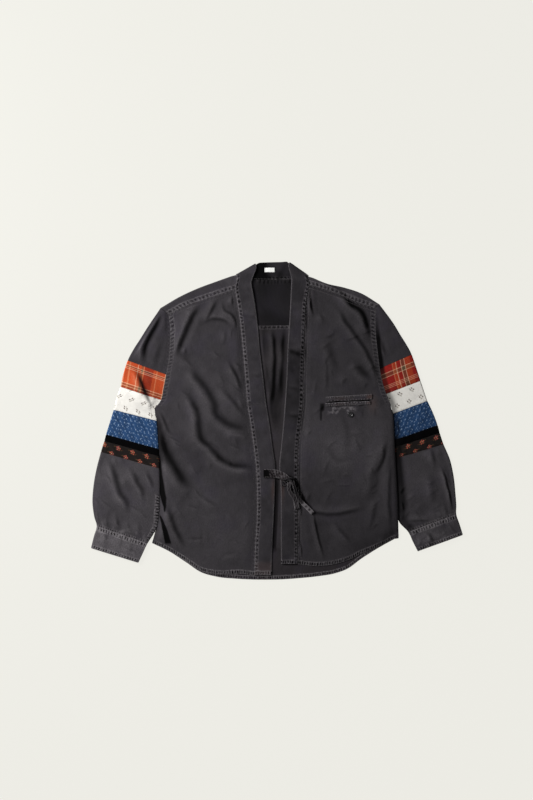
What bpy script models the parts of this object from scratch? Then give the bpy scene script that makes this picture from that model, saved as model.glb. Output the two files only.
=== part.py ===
"""A kimono-style shirt jacket of washed charcoal denim with five patchwork bands let into each sleeve.

It lies flat and open on its back, tied once over the opening. Metres, +Z up, +Y towards the neck and +X to the
wearer's left, with the origin on the surface that it lies on, in the middle of the jacket.

Every piece of cloth is a wall of even thickness, made from a grid of columns across it and rows down it. Pieces
that are sewn together share the points of their seam, half a seam gap to each side of it.
"""

from collections import namedtuple
from math import cos, hypot, pi, sin

import bmesh
import bpy
import numpy as np
from mathutils import Vector
from mathutils.bvhtree import BVHTree

CLOTH = 0.0012  # one layer, with its seam allowances pressed flat
DOUBLED = 0.0024  # neck band, cuffs and ties, two layers
HALF_GAP = 0.00015  # each sewn edge keeps this from its seam line
CLEAR = 0.0003  # between a piece and the one that it lies on
PRESSED = CLOTH + CLEAR + CLOTH  # top of a front where it lies on the back
BAND_TOP = CLOTH + CLEAR + DOUBLED  # top of the neck band where it lies on the back
SHOULDER_TOP = 0.005  # top of the folded yoke and of the armhole seams
SLEEVE_TOP = 0.0056  # top of a sleeve's outer fold
CUFF_TOP = 0.0066
NECK_FOLD_TOP = 0.0058  # top of the neck band where it turns round the neck
FRONT_LOFT = 0.0014  # how far a front stands off the back between its seams
SLEEVE_ROOM = 0.018  # how far in from the sleeve's inner edge its height settles

# Sections down each sleeve: its inner end, on the armhole and then along the underarm, and its outer fold.
Section = namedtuple("Section", "name inner_x inner_y outer_x outer_y")
LEFT_SLEEVE = (
    Section("shoulder", -0.252, 0.248, -0.271, 0.264),
    Section("back_yoke", -0.248, 0.216, -0.2975, 0.225),
    Section("top", -0.249, 0.177, -0.319, 0.191),
    Section("top", -0.252, 0.142, -0.335, 0.166),
    Section("plaid", -0.258, 0.108, -0.348, 0.141),
    Section("plaid", -0.264, 0.076, -0.358, 0.111),
    Section("white", -0.270, 0.048, -0.365, 0.079),
    Section("underarm", -0.285, 0.029, -0.374, 0.053),
    Section("blue", -0.2835, 0.000, -0.381, 0.025),
    Section("blue", -0.2810, -0.033, -0.390, -0.004),
    Section("ribbon", -0.2790, -0.066, -0.399, -0.033),
    Section("dark", -0.2783, -0.083, -0.403, -0.048),
    Section("lower", -0.2773, -0.112, -0.411, -0.074),
    Section("lower", -0.2766, -0.146, -0.421, -0.112),
    Section("lower", -0.2770, -0.180, -0.428, -0.150),
    Section("lower", -0.2785, -0.214, -0.431, -0.190),
    Section("lower", -0.2838, -0.252, -0.427, -0.225),
    Section("cuff", -0.3050, -0.288, -0.421, -0.248),
    Section("cuff", -0.3160, -0.311, -0.428, -0.274),
    Section("end", -0.3265, -0.3335, -0.4345, -0.300),
)
RIGHT_SLEEVE = (
    Section("shoulder", 0.234, 0.264, 0.243, 0.273),
    Section("back_yoke", 0.234, 0.222, 0.2735, 0.232),
    Section("top", 0.236, 0.190, 0.2925, 0.201),
    Section("top", 0.240, 0.155, 0.3075, 0.177),
    Section("plaid", 0.244, 0.122, 0.319, 0.155),
    Section("plaid", 0.250, 0.092, 0.330, 0.123),
    Section("white", 0.259, 0.062, 0.340, 0.093),
    Section("underarm", 0.270, 0.037, 0.348, 0.069),
    Section("blue", 0.2733, 0.015, 0.356, 0.046),
    Section("blue", 0.2752, -0.017, 0.369, 0.018),
    Section("ribbon", 0.2765, -0.047, 0.380, -0.011),
    Section("dark", 0.2773, -0.063, 0.385, -0.029),
    Section("lower", 0.2787, -0.090, 0.394, -0.056),
    Section("lower", 0.2808, -0.126, 0.409, -0.092),
    Section("lower", 0.2828, -0.163, 0.418, -0.133),
    Section("lower", 0.2846, -0.200, 0.422, -0.172),
    Section("lower", 0.2885, -0.236, 0.424, -0.200),
    Section("cuff", 0.3110, -0.262, 0.424, -0.221),
    Section("cuff", 0.3220, -0.285, 0.432, -0.245),
    Section("end", 0.3335, -0.3075, 0.4395, -0.269),
)
ARMHOLE_SECTIONS = 8  # the sections that end on the armhole, down to the underarm

# The body's side edges below the underarm, down to the hem corners.
Side = namedtuple("Side", "left_x left_y right_x right_y")
BODY_SIDES = (
    Side(-0.281, -0.010, 0.273, 0.000),
    Side(-0.278, -0.055, 0.275, -0.050),
    Side(-0.276, -0.105, 0.278, -0.105),
    Side(-0.275, -0.155, 0.281, -0.155),
    Side(-0.276, -0.205, 0.283, -0.200),
    Side(-0.281, -0.250, 0.284, -0.240),
    Side(-0.291, -0.288, 0.285, -0.275),
)

# Both edges of the neck band down each front: the seam to the front panel and the free edge.
Band = namedtuple("Band", "y left_seam left_edge right_edge right_seam")
NECK_BAND = (
    Band(0.320, -0.097, -0.057, 0.036, 0.079),
    Band(0.270, -0.089, -0.048, 0.034, 0.070),
    Band(0.220, -0.082, -0.042, 0.031, 0.068),
    Band(0.156, -0.076, -0.036, 0.027, 0.066),
    Band(0.099, -0.071, -0.029, 0.025, 0.064),
    Band(0.037, -0.066, -0.022, 0.021, 0.063),
    Band(-0.014, -0.058, -0.014, 0.017, 0.057),
    Band(-0.066, -0.051, -0.007, 0.012, 0.052),
    Band(-0.110, -0.046, -0.001, 0.008, 0.051),
    Band(-0.150, -0.044, -0.002, 0.011, 0.051),
    Band(-0.230, -0.044, -0.005, 0.012, 0.051),
    Band(-0.290, -0.048, -0.008, 0.012, 0.051),
    Band(-0.360, -0.050, -0.010, 0.013, 0.051),
)

# The hems of the back and of the fronts.
Hem = namedtuple("Hem", "x back_y front_y")
HEMS = (
    Hem(-0.291, -0.288, -0.288),
    Hem(-0.250, -0.308, -0.307),
    Hem(-0.210, -0.334, -0.332),
    Hem(-0.177, -0.356, -0.353),
    Hem(-0.140, -0.367, -0.361),
    Hem(-0.090, -0.3722, -0.360),
    Hem(-0.010, -0.3740, -0.356),
    Hem(0.013, -0.3735, -0.338),
    Hem(0.051, -0.3710, -0.338),
    Hem(0.100, -0.3660, -0.342),
    Hem(0.140, -0.359, -0.337),
    Hem(0.170, -0.3475, -0.328),
    Hem(0.200, -0.3255, -0.314),
    Hem(0.240, -0.300, -0.297),
    Hem(0.285, -0.275, -0.275),
)

# The front yoke seam and the shoulder fold, at even steps from the armhole to the neck band.
Shoulder = namedtuple("Shoulder", "seam_x seam_y fold_x fold_y")
LEFT_SHOULDER = (
    Shoulder(-0.252, 0.248, -0.271, 0.264),
    Shoulder(-0.212, 0.269, -0.227, 0.290),
    Shoulder(-0.173, 0.283, -0.184, 0.310),
    Shoulder(-0.134, 0.296, -0.141, 0.326),
    Shoulder(-0.096, 0.309, -0.096, 0.342),
)
RIGHT_SHOULDER = (
    Shoulder(0.234, 0.264, 0.243, 0.273),
    Shoulder(0.196, 0.276, 0.202, 0.298),
    Shoulder(0.157, 0.292, 0.161, 0.312),
    Shoulder(0.118, 0.307, 0.120, 0.3215),
    Shoulder(0.079, 0.319, 0.079, 0.3385),
)

# The back neck seam and the top edge of the standing band above it, between the two neck folds.
Neck = namedtuple("Neck", "seam_x seam_y top_x top_y")
BACK_NECK = (
    Neck(-0.070, 0.3335, -0.040, 0.3700),
    Neck(-0.040, 0.3310, -0.024, 0.3712),
    Neck(-0.008, 0.3305, -0.006, 0.3718),
    Neck(0.024, 0.3310, 0.012, 0.3722),
    Neck(0.053, 0.3330, 0.026, 0.3728),
)
LEFT_NECK_FOLD = ((-0.0945, 0.3430), (-0.0480, 0.3690))  # its seam end and its free end
RIGHT_NECK_FOLD = ((0.0775, 0.3400), (0.0325, 0.3720))

# The largest folds: each is a soft ridge from one point to another, bowed to its left by bow.
Fold = namedtuple("Fold", "x0 y0 x1 y1 bow width height")
LEFT_FRONT_FOLDS = (
    Fold(-0.190, 0.262, -0.247, 0.150, -0.006, 0.013, 0.0060),
    Fold(-0.152, 0.282, -0.180, 0.226, 0.000, 0.010, 0.0035),
    Fold(-0.196, 0.110, -0.066, -0.010, -0.018, 0.015, 0.0065),
    Fold(-0.206, 0.050, -0.060, -0.104, -0.030, 0.015, 0.0060),
    Fold(-0.116, 0.150, -0.078, 0.070, 0.004, 0.012, 0.0040),
    Fold(-0.262, -0.040, -0.190, -0.165, 0.010, 0.014, 0.0055),
    Fold(-0.250, -0.225, -0.185, -0.312, 0.006, 0.013, 0.0050),
    Fold(-0.200, -0.160, -0.135, -0.192, 0.000, 0.012, 0.0030),
)
RIGHT_FRONT_FOLDS = (
    Fold(0.150, 0.280, 0.212, 0.170, 0.012, 0.014, 0.0055),
    Fold(0.186, 0.168, 0.246, 0.072, 0.006, 0.013, 0.0045),
    Fold(0.082, -0.184, 0.180, -0.200, -0.014, 0.013, 0.0035),
    Fold(0.080, -0.215, 0.104, -0.310, 0.004, 0.011, 0.0050),
    Fold(0.150, -0.236, 0.190, -0.288, 0.000, 0.012, 0.0030),
    Fold(0.254, -0.050, 0.238, -0.125, 0.000, 0.010, 0.0035),
)
LEFT_SLEEVE_FOLDS = (
    Fold(-0.286, 0.230, -0.318, 0.120, -0.004, 0.012, 0.0060),
    Fold(-0.326, 0.118, -0.300, 0.040, -0.008, 0.012, 0.0055),
    Fold(-0.388, -0.090, -0.362, -0.215, 0.008, 0.012, 0.0060),
    Fold(-0.332, -0.100, -0.316, -0.180, 0.004, 0.010, 0.0040),
    Fold(-0.300, -0.150, -0.318, -0.250, 0.004, 0.012, 0.0045),
)
RIGHT_SLEEVE_FOLDS = (
    Fold(0.252, 0.205, 0.272, 0.130, 0.004, 0.010, 0.0040),
    Fold(0.394, -0.100, 0.410, -0.205, 0.004, 0.011, 0.0060),
    Fold(0.362, -0.070, 0.372, -0.110, 0.000, 0.010, 0.0035),
    Fold(0.306, -0.222, 0.384, -0.222, -0.004, 0.010, 0.0040),
    Fold(0.310, -0.120, 0.318, -0.200, 0.004, 0.012, 0.0040),
)

# The two ties, as the middle line of each tape's outer face, with its width there.
Tape = namedtuple("Tape", "x y z width")
LEFT_TIE = (
    Tape(-0.0290, -0.1255, 0.0068, 0.0215),
    Tape(-0.0150, -0.1255, 0.0070, 0.0205),
    Tape(0.0000, -0.1265, 0.0072, 0.0180),
    Tape(0.0120, -0.1285, 0.0084, 0.0160),
    Tape(0.0235, -0.1345, 0.0104, 0.0140),
    Tape(0.0320, -0.1440, 0.0112, 0.0110),
    Tape(0.0335, -0.1560, 0.0104, 0.0090),
    Tape(0.0360, -0.1690, 0.0094, 0.0100),
    Tape(0.0430, -0.1800, 0.0084, 0.0110),
    Tape(0.0475, -0.1920, 0.0072, 0.0110),
    Tape(0.0510, -0.2080, 0.0068, 0.0115),
)
RIGHT_TIE = (
    Tape(0.0170, -0.1480, 0.0068, 0.0120),
    Tape(0.0290, -0.1480, 0.0070, 0.0110),
    Tape(0.0400, -0.1440, 0.0078, 0.0090),
    Tape(0.0480, -0.1540, 0.0086, 0.0085),
    Tape(0.0515, -0.1660, 0.0084, 0.0085),
    Tape(0.0560, -0.1790, 0.0080, 0.0095),
    Tape(0.0630, -0.1930, 0.0082, 0.0115),
    Tape(0.0740, -0.2060, 0.0084, 0.0115),
    Tape(0.0870, -0.2190, 0.0084, 0.0115),
)

# The slit pocket on the front at +X: the two lips' long edges, from the opening's side to the armhole's.
Lip = namedtuple("Lip", "x low high")
UPPER_LIP = (Lip(0.116, 0.0450, 0.0565), Lip(0.226, 0.0490, 0.0625))
LOWER_LIP = (Lip(0.116, 0.0330, 0.0442), Lip(0.222, 0.0390, 0.0480))
BUTTON_AT = (0.175, 0.014)
BUTTON_RADIUS = 0.0062
BUTTON_HEIGHT = 0.0022
LABEL_CENTRE = (-0.0145, 0.3535)
LABEL_SIZE = (0.024, 0.0105, 0.001)

# How finely the grids are divided.
FRONT_COLUMNS = 16
YOKE_COLUMNS = FRONT_COLUMNS
BACK_COLUMNS = 12
SLEEVE_FRONT_COLUMNS = 10
SLEEVE_BACK_COLUMNS = 3
FOLD_STEPS = 3
FRONT_ROW_STEPS = (1, 1, 1, 1, 1, 1, 1, 2, 2, 2, 2, 2, 2, 2)  # rows in each space between two stations
BAND_COLUMNS = 2

WASHED_DENIM = (0.040, 0.037, 0.042)
COLOURS = {
    "plaid": (0.62, 0.10, 0.035),
    "white": (0.72, 0.67, 0.62),
    "blue": (0.045, 0.105, 0.23),
    "ribbon": (0.006, 0.006, 0.007),
    "dark": (0.020, 0.015, 0.012),
    "label": (0.80, 0.80, 0.77),
    "button": (0.015, 0.014, 0.015),
}


# Curves and heights


def curve(places, values, at):
    """A smooth curve through values at rising places, read at one place."""
    slopes = np.gradient(values, places)
    i = int(np.clip(np.searchsorted(places, at) - 1, 0, len(places) - 2))
    step = places[i + 1] - places[i]
    t = (at - places[i]) / step
    ends = values[i] * (2 * t**3 - 3 * t**2 + 1) + values[i + 1] * (3 * t**2 - 2 * t**3)
    return float(ends + step * (slopes[i] * (t**3 - 2 * t**2 + t) + slopes[i + 1] * (t**3 - t**2)))


def column_of(table, column, key, at):
    """One column of a table, read smoothly by another that rises or falls."""
    rows = sorted(table, key=lambda row: getattr(row, key))
    return curve([getattr(row, key) for row in rows], [getattr(row, column) for row in rows], at)


def along(table, fields, part):
    """Fields of an evenly spaced table, read smoothly from 0 at its first row to 1 at its last."""
    places = np.linspace(0, 1, len(table))
    return [curve(places, [getattr(row, field) for row in table], part) for field in fields]


def mix(a, b, part):
    return a + (b - a) * part


def ease(part):
    part = min(max(part, 0.0), 1.0)
    return part * part * (3 - 2 * part)


def split(points, steps):
    """The points, with the straight lines between them divided into the given number of steps."""
    out = [points[0]]
    for a, b, count in zip(points, points[1:], steps):
        out += [tuple(mix(p, q, (k + 1) / count) for p, q in zip(a, b)) for k in range(count)]
    return out


def fold_line(fold, steps=10):
    """Points along a fold, bowed to its left."""
    dx, dy = fold.x1 - fold.x0, fold.y1 - fold.y0
    length = hypot(dx, dy)
    for k in range(steps + 1):
        t = k / steps
        aside = fold.bow * 4 * t * (1 - t)
        yield fold.x0 + dx * t - dy / length * aside, fold.y0 + dy * t + dx / length * aside, t


def fold_height(folds, x, y):
    """How far the folds lift the cloth at a point. A ridge fades out towards both of its ends."""
    lift = 0.0
    for fold in folds:
        away, t = min((hypot(x - px, y - py), t) for px, py, t in fold_line(fold))
        lift += fold.height * sin(pi * (0.08 + 0.84 * t)) * np.exp(-((away / fold.width) ** 2))
    return lift


# Building pieces


def principled(name, colour, roughness=0.9):
    material = bpy.data.materials.new(name)
    material.use_nodes = True
    shader = material.node_tree.nodes["Principled BSDF"]
    shader.inputs["Base Color"].default_value = (*colour, 1)
    shader.inputs["Roughness"].default_value = roughness
    shader.inputs["Metallic"].default_value = 0.0
    material.diffuse_color = (*colour, 1)
    return material


def keep(name, bm, colour, roughness=0.9):
    """Turns the mesh into a named object of the jacket, with a material of its own."""
    bmesh.ops.recalc_face_normals(bm, faces=bm.faces[:])
    mesh = bpy.data.meshes.new(name)
    bm.to_mesh(mesh)
    bm.free()
    mesh.shade_smooth()
    mesh.set_sharp_from_angle(angle=0.7)
    mesh.materials.append(principled(name, colour, roughness))
    piece = bpy.data.objects.new(name, mesh)
    bpy.data.collections["patched_jacket"].objects.link(piece)
    return piece


def cloth(name, outer, inner, colour, cut_out=None):
    """A piece of cloth: a wall between two like grids of points, its outer face and its inner face.

    The grids are lists of rows of points. cut_out(column, row) says which cells are left out.
    """
    rows, columns = len(outer) - 1, len(outer[0]) - 1
    bm = bmesh.new()
    bmesh.ops.create_grid(bm, x_segments=columns, y_segments=rows, size=0.5)
    column_layer = bm.verts.layers.int.new("column")
    row_layer = bm.verts.layers.int.new("row")
    for vert in bm.verts:
        vert[column_layer] = round((vert.co.x + 0.5) * columns)
        vert[row_layer] = round((vert.co.y + 0.5) * rows)
    if cut_out:
        gone = [
            face
            for face in bm.faces
            if cut_out(min(v[column_layer] for v in face.verts), min(v[row_layer] for v in face.verts))
        ]
        bmesh.ops.delete(bm, geom=gone, context="FACES")
    for vert in bm.verts:
        vert.co = outer[vert[row_layer]][vert[column_layer]]
    bmesh.ops.triangulate(bm, faces=bm.faces[:], quad_method="SHORT_EDGE")
    lining = bmesh.ops.extrude_face_region(bm, geom=bm.faces[:])["geom"]
    for vert in lining:
        if isinstance(vert, bmesh.types.BMVert):
            vert.co = inner[vert[row_layer]][vert[column_layer]]
    return keep(name, bm, colour)


def lowered(grid, thickness):
    """The same grid of points, lower by a thickness."""
    return [[(x, y, z - thickness) for x, y, z in row] for row in grid]


# The seams that pieces share


def sleeve_of(side):
    return LEFT_SLEEVE if side < 0 else RIGHT_SLEEVE


def side_edge(side):
    """The stations down one side of the body: the armhole, then the side seam."""
    armhole = [(row.inner_x, row.inner_y) for row in sleeve_of(side)[:ARMHOLE_SECTIONS]]
    if side < 0:
        return armhole + [(row.left_x, row.left_y) for row in BODY_SIDES]
    return armhole + [(row.right_x, row.right_y) for row in BODY_SIDES]


def band_x(side, edge, y):
    """Where the neck band's seam or free edge is at a height on the body."""
    return column_of(NECK_BAND, ("left_" if side < 0 else "right_") + edge, "y", y)


def band_seam(side):
    """The stations down the seam between a front and the neck band, one for each on the side edge."""
    edge = side_edge(side)
    shoulder = LEFT_SHOULDER if side < 0 else RIGHT_SHOULDER
    top, foot = shoulder[-1].seam_y, column_of(HEMS, "front_y", "x", band_x(side, "seam", -0.350))
    down = [(edge[0][1] - y) / (edge[0][1] - edge[-1][1]) for _, y in edge]
    points = [(band_x(side, "seam", mix(top, foot, part)), mix(top, foot, part)) for part in down]
    points[0] = (shoulder[-1].seam_x, top)
    return points


# Body pieces


def build_back():
    """The back panel lies flat on the surface, from the back yoke seam to its hem."""
    left, right = side_edge(-1)[1:], side_edge(1)[1:]
    grid = []
    for k, (start, end) in enumerate(zip(left, right)):
        row = []
        hang = (k / (len(left) - 1)) ** 3
        for i in range(BACK_COLUMNS + 1):
            part = i / BACK_COLUMNS
            x = mix(start[0] + 2 * HALF_GAP, end[0] - 2 * HALF_GAP, part)
            y = mix(start[1], end[1], part)
            y += hang * (column_of(HEMS, "back_y", "x", x) - mix(left[-1][1], right[-1][1], part))
            if k == 0:
                y = yoke_seam_y(part) - HALF_GAP
            row.append((x, y, CLOTH))
        grid.append(row)
    return cloth("back_panel", grid, lowered(grid, CLOTH), WASHED_DENIM)


def yoke_seam_y(part):
    """The back yoke seam bows up a little between the armholes."""
    start, end = LEFT_SLEEVE[1].inner_y, RIGHT_SLEEVE[1].inner_y
    return mix(start, end, part) + 0.004 * sin(pi * part)


def front_top(side, x, y, across, down):
    """The height of a front's outer face: low at its seams, with a loft between them and its folds."""
    armhole = 1 - ease((0.085 - y) / 0.055)
    yoke = 1 - ease(down / 0.10)
    edge = mix(PRESSED, SHOULDER_TOP, max(armhole * (1 - ease(across / 0.12)), yoke))
    loft = FRONT_LOFT * ease(across / 0.12) * ease((1 - across) / 0.10) * ease((1 - down) / 0.06)
    folds = LEFT_FRONT_FOLDS if side < 0 else RIGHT_FRONT_FOLDS
    fade = ease(across / 0.05) * ease((1 - across) / 0.04) * ease((1 - down) / 0.03)
    return edge + loft * (1 - yoke) + fold_height(folds, x, y) * fade


def front_grid(side):
    """A front panel's outer face, from its armhole and side edge to the neck band's seam."""
    edge = split(side_edge(side), FRONT_ROW_STEPS)
    seam = split(band_seam(side), FRONT_ROW_STEPS)
    shoulder = LEFT_SHOULDER if side < 0 else RIGHT_SHOULDER
    grid = []
    for k, (start, end) in enumerate(zip(edge, seam)):
        row = []
        down = k / (len(edge) - 1)
        for i in range(FRONT_COLUMNS + 1):
            across = i / FRONT_COLUMNS
            x = mix(start[0], end[0], across)
            y = mix(start[1], end[1], across)
            seam_x, seam_y = along(shoulder, ("seam_x", "seam_y"), across)
            top_bow = seam_y - mix(shoulder[0].seam_y, shoulder[-1].seam_y, across)
            y += top_bow * (1 - down) ** 3
            if k == 0:
                x, y = seam_x, seam_y - HALF_GAP
            y += down**4 * (column_of(HEMS, "front_y", "x", x) - mix(edge[-1][1], seam[-1][1], across))
            x += side * HALF_GAP * (1 - 2 * across) * -1
            row.append((x, y, front_top(side, x, y, across, down)))
        grid.append(row)
    return grid


def build_front(side, name):
    grid = front_grid(side)
    return cloth(name, grid, lowered(grid, CLOTH), WASHED_DENIM)


def yoke_column(side, part):
    """One column of the yoke: from the back seam, over the shoulder fold, to the front yoke seam."""
    shoulder = LEFT_SHOULDER if side < 0 else RIGHT_SHOULDER
    seam_x, seam_y, fold_x, fold_y = along(shoulder, Shoulder._fields, part)
    sleeve = sleeve_of(side)
    back_x = mix(sleeve[1].inner_x, shoulder[-1].seam_x, part)
    back_y = yoke_seam_y((back_x - LEFT_SLEEVE[1].inner_x) / (RIGHT_SLEEVE[1].inner_x - LEFT_SLEEVE[1].inner_x))
    radius = SHOULDER_TOP / 2
    turn_y = fold_y - radius
    turn_x = mix(seam_x, fold_x, (turn_y - seam_y) / (fold_y - seam_y))
    keep_off = -side * 2 * HALF_GAP * (1 - part)
    column = [
        (back_x, back_y + HALF_GAP, 0, CLOTH),
        (mix(back_x, seam_x, 0.5), mix(back_y, seam_y, 0.5), 0, CLOTH),
        (seam_x, seam_y, 0, CLOTH),
        (turn_x, turn_y, 0, CLOTH),
    ]
    outer = [(x + keep_off, y, z) for x, y, z, _ in column]
    inner = [(x + keep_off, y, z) for x, y, _, z in column]
    for step in range(1, FOLD_STEPS):
        angle = pi * step / FOLD_STEPS
        for skin, r in ((outer, radius), (inner, radius - CLOTH)):
            reach = sin(angle) * r
            skin.append(
                (
                    mix(turn_x, fold_x, reach / radius) + keep_off,
                    turn_y + reach,
                    radius - cos(angle) * r,
                )
            )
    top = [(turn_x, turn_y), (seam_x, seam_y + HALF_GAP)]
    outer += [(x + keep_off, y, SHOULDER_TOP) for x, y in top]
    inner += [(x + keep_off, y, SHOULDER_TOP - CLOTH) for x, y in top]
    return outer, inner


def back_neck_column(neck):
    """A column of the yoke between the shoulders, which ends at the back neck seam."""
    left, right = LEFT_SLEEVE[1], RIGHT_SLEEVE[1]
    seam_y = yoke_seam_y((neck.seam_x - left.inner_x) / (right.inner_x - left.inner_x))
    top_y = neck.seam_y - HALF_GAP
    heights = [seam_y + HALF_GAP, mix(seam_y, top_y, 0.4), mix(seam_y, top_y, 0.75), top_y]
    return [(neck.seam_x, y, 0) for y in heights], [(neck.seam_x, y, CLOTH) for y in heights]


def build_yoke():
    """One piece, flat on the back and folded over both shoulders to the front yoke seams."""
    parts = [k / YOKE_COLUMNS for k in range(YOKE_COLUMNS + 1)]
    columns = [yoke_column(-1, part) for part in parts]
    columns += [back_neck_column(neck) for neck in BACK_NECK]
    columns += [yoke_column(1, part) for part in reversed(parts)]
    last = YOKE_COLUMNS + len(BACK_NECK) + 1
    rows = len(columns[0][0])
    skins = []
    for skin in (0, 1):
        filled = [column[skin] + [column[skin][-1]] * (rows - len(column[skin])) for column in columns]
        skins.append([[column[row] for column in filled] for row in range(rows)])
    return cloth("yoke", *skins, WASHED_DENIM, cut_out=lambda i, j: YOKE_COLUMNS <= i < last and j > 2)


# The neck band


def band_rows(side):
    """Stations of the neck band down one front, as the outer face's points from seam to free edge."""
    rows = []
    seam = band_seam(side)
    for k, (seam_x, seam_y) in enumerate(seam):
        rise = 1 - k / (len(seam) - 1)
        edge_y = seam_y + 0.012 * rise**2
        edge_x = band_x(side, "edge", edge_y)
        height = mix(BAND_TOP, NECK_FOLD_TOP, ease((seam_y - 0.200) / 0.110))
        seam_x -= side * HALF_GAP
        rows.append([(mix(seam_x, edge_x, i / BAND_COLUMNS), mix(seam_y, edge_y, i / BAND_COLUMNS), height)
                     for i in range(BAND_COLUMNS + 1)])
    return rows


def neck_fold_rows(fold, outward):
    """The band's turn round one side of the neck, from the front layer under to the back one."""
    radius = NECK_FOLD_TOP / 2
    (seam_x, seam_y), (edge_x, edge_y) = fold
    length = hypot(edge_x - seam_x, edge_y - seam_y)
    normal = Vector((seam_y - edge_y, edge_x - seam_x)) / length * outward
    outer, inner = [], []
    for step in range(FOLD_STEPS + 2):
        angle = pi * step / (FOLD_STEPS + 1)
        for skin, r in ((outer, radius), (inner, radius - DOUBLED)):
            reach = sin(angle) * r - radius
            skin.append([
                (
                    mix(seam_x, edge_x, i / BAND_COLUMNS) + normal.x * reach,
                    mix(seam_y, edge_y, i / BAND_COLUMNS) + normal.y * reach,
                    radius + cos(angle) * r,
                )
                for i in range(BAND_COLUMNS + 1)
            ])
    return outer, inner


def build_neck_bands():
    """The short strip at the left front's foot, and the long one from there round the neck to the right hem."""
    left, right = band_rows(-1), band_rows(1)
    join = ARMHOLE_SECTIONS - 1
    foot = [[(x, y - 2 * HALF_GAP * (k == 0), z) for x, y, z in row] for k, row in enumerate(left[join:])]
    cloth("neck_band_foot", foot, lowered(foot, DOUBLED), WASHED_DENIM)

    up = left[join::-1]
    left_fold = neck_fold_rows(LEFT_NECK_FOLD, 1)
    right_fold = [skin[::-1] for skin in neck_fold_rows(RIGHT_NECK_FOLD, -1)]
    across = []
    for neck in BACK_NECK:
        across.append([
            (mix(neck.seam_x, neck.top_x, i / BAND_COLUMNS), mix(neck.seam_y + HALF_GAP, neck.top_y, i / BAND_COLUMNS))
            for i in range(BAND_COLUMNS + 1)
        ])
    outer = up + left_fold[0] + [[(x, y, 0) for x, y in row] for row in across] + right_fold[0] + right
    inner = lowered(up, DOUBLED) + left_fold[1]
    inner += [[(x, y, DOUBLED) for x, y in row] for row in across] + right_fold[1] + lowered(right, DOUBLED)
    cloth("neck_band", outer, inner, WASHED_DENIM)


# Sleeves


def sleeve_edge_top(index, thickness):
    """The height of a sleeve's front layer at its inner end: raised at the armhole, pressed down below it."""
    return mix(SHOULDER_TOP, 2 * thickness + CLEAR, ease((index - 4.5) / 2.5))


def sleeve_ring(side, index, thickness, top):
    """One section round a sleeve: its front layer, its outer fold and its back layer, outer and inner faces."""
    sleeve = sleeve_of(side)
    low = min(int(index), len(sleeve) - 2)
    part = index - low
    a, b = sleeve[low], sleeve[low + 1]
    start = Vector((mix(a.inner_x, b.inner_x, part), mix(a.inner_y, b.inner_y, part)))
    end = Vector((mix(a.outer_x, b.outer_x, part), mix(a.outer_y, b.outer_y, part)))
    width = (end - start).length
    way = (end - start) / width
    radius = top / 2
    begin = 2 * HALF_GAP if index < ARMHOLE_SECTIONS else 0.0
    folds = LEFT_SLEEVE_FOLDS if side < 0 else RIGHT_SLEEVE_FOLDS
    edge = sleeve_edge_top(index, thickness)
    outer, inner = [], []
    for i in range(SLEEVE_FRONT_COLUMNS + 1):
        run = mix(begin, width - radius, i / SLEEVE_FRONT_COLUMNS)
        at = start + way * run
        fade = ease(run / 0.012) * ease((width - radius - run) / 0.010)
        z = mix(edge, top, ease(run / SLEEVE_ROOM)) + fold_height(folds, at.x, at.y) * fade
        outer.append((at.x, at.y, z))
        inner.append((at.x, at.y, z - thickness))
    for step in range(1, FOLD_STEPS):
        angle = pi * step / FOLD_STEPS
        for skin, r in ((outer, radius), (inner, radius - thickness)):
            at = start + way * (width - radius + sin(angle) * r)
            skin.append((at.x, at.y, radius + cos(angle) * r))
    for i in range(SLEEVE_BACK_COLUMNS + 1):
        at = start + way * mix(width - radius, begin, i / SLEEVE_BACK_COLUMNS)
        outer.append((at.x, at.y, 0))
        inner.append((at.x, at.y, thickness))
    return outer, inner


def shifted(row, towards, distance):
    """A row of points moved level towards the like points of another row."""
    out = []
    for (x, y, z), (x1, y1, _) in zip(row, towards):
        length = hypot(x1 - x, y1 - y)
        out.append((x + (x1 - x) / length * distance, y + (y1 - y) / length * distance, z))
    return out


def build_sleeve_piece(name, side, first, last, steps, colour, thickness=CLOTH, top=SLEEVE_TOP):
    """The stretch of a sleeve between two of its sections, kept off the seams at both ends."""
    places = np.linspace(first, last, (last - first) * steps + 1)
    rings = [sleeve_ring(side, place, thickness, top) for place in places]
    outer, inner = [ring[0] for ring in rings], [ring[1] for ring in rings]
    for skin in (outer, inner):
        skin[0], skin[-1] = shifted(skin[0], skin[1], HALF_GAP), shifted(skin[-1], skin[-2], HALF_GAP)
    return cloth(name, outer, inner, colour)


def build_sleeve(side, hand):
    """Top, five patchwork bands, lower sleeve and cuff."""
    names = [row.name for row in sleeve_of(side)]
    plaid, white, blue = names.index("plaid"), names.index("white"), names.index("blue")
    ribbon, dark, lower = names.index("ribbon"), names.index("dark"), names.index("lower")
    cuff, end = names.index("cuff"), names.index("end")
    build_sleeve_piece(f"sleeve_top_{hand}", side, 0, plaid, 2, WASHED_DENIM)
    build_sleeve_piece(f"plaid_band_{hand}", side, plaid, white, 1, COLOURS["plaid"])
    build_sleeve_piece(f"white_band_{hand}", side, white, blue, 1, COLOURS["white"])
    build_sleeve_piece(f"blue_band_{hand}", side, blue, ribbon, 1, COLOURS["blue"])
    build_sleeve_piece(f"ribbon_band_{hand}", side, ribbon, dark, 1, COLOURS["ribbon"])
    build_sleeve_piece(f"dark_band_{hand}", side, dark, lower, 1, COLOURS["dark"])
    build_sleeve_piece(f"sleeve_lower_{hand}", side, lower, cuff, 2, WASHED_DENIM)
    build_sleeve_piece(f"cuff_{hand}", side, cuff, end, 1, WASHED_DENIM, DOUBLED, CUFF_TOP)


# What lies on the panels


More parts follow.
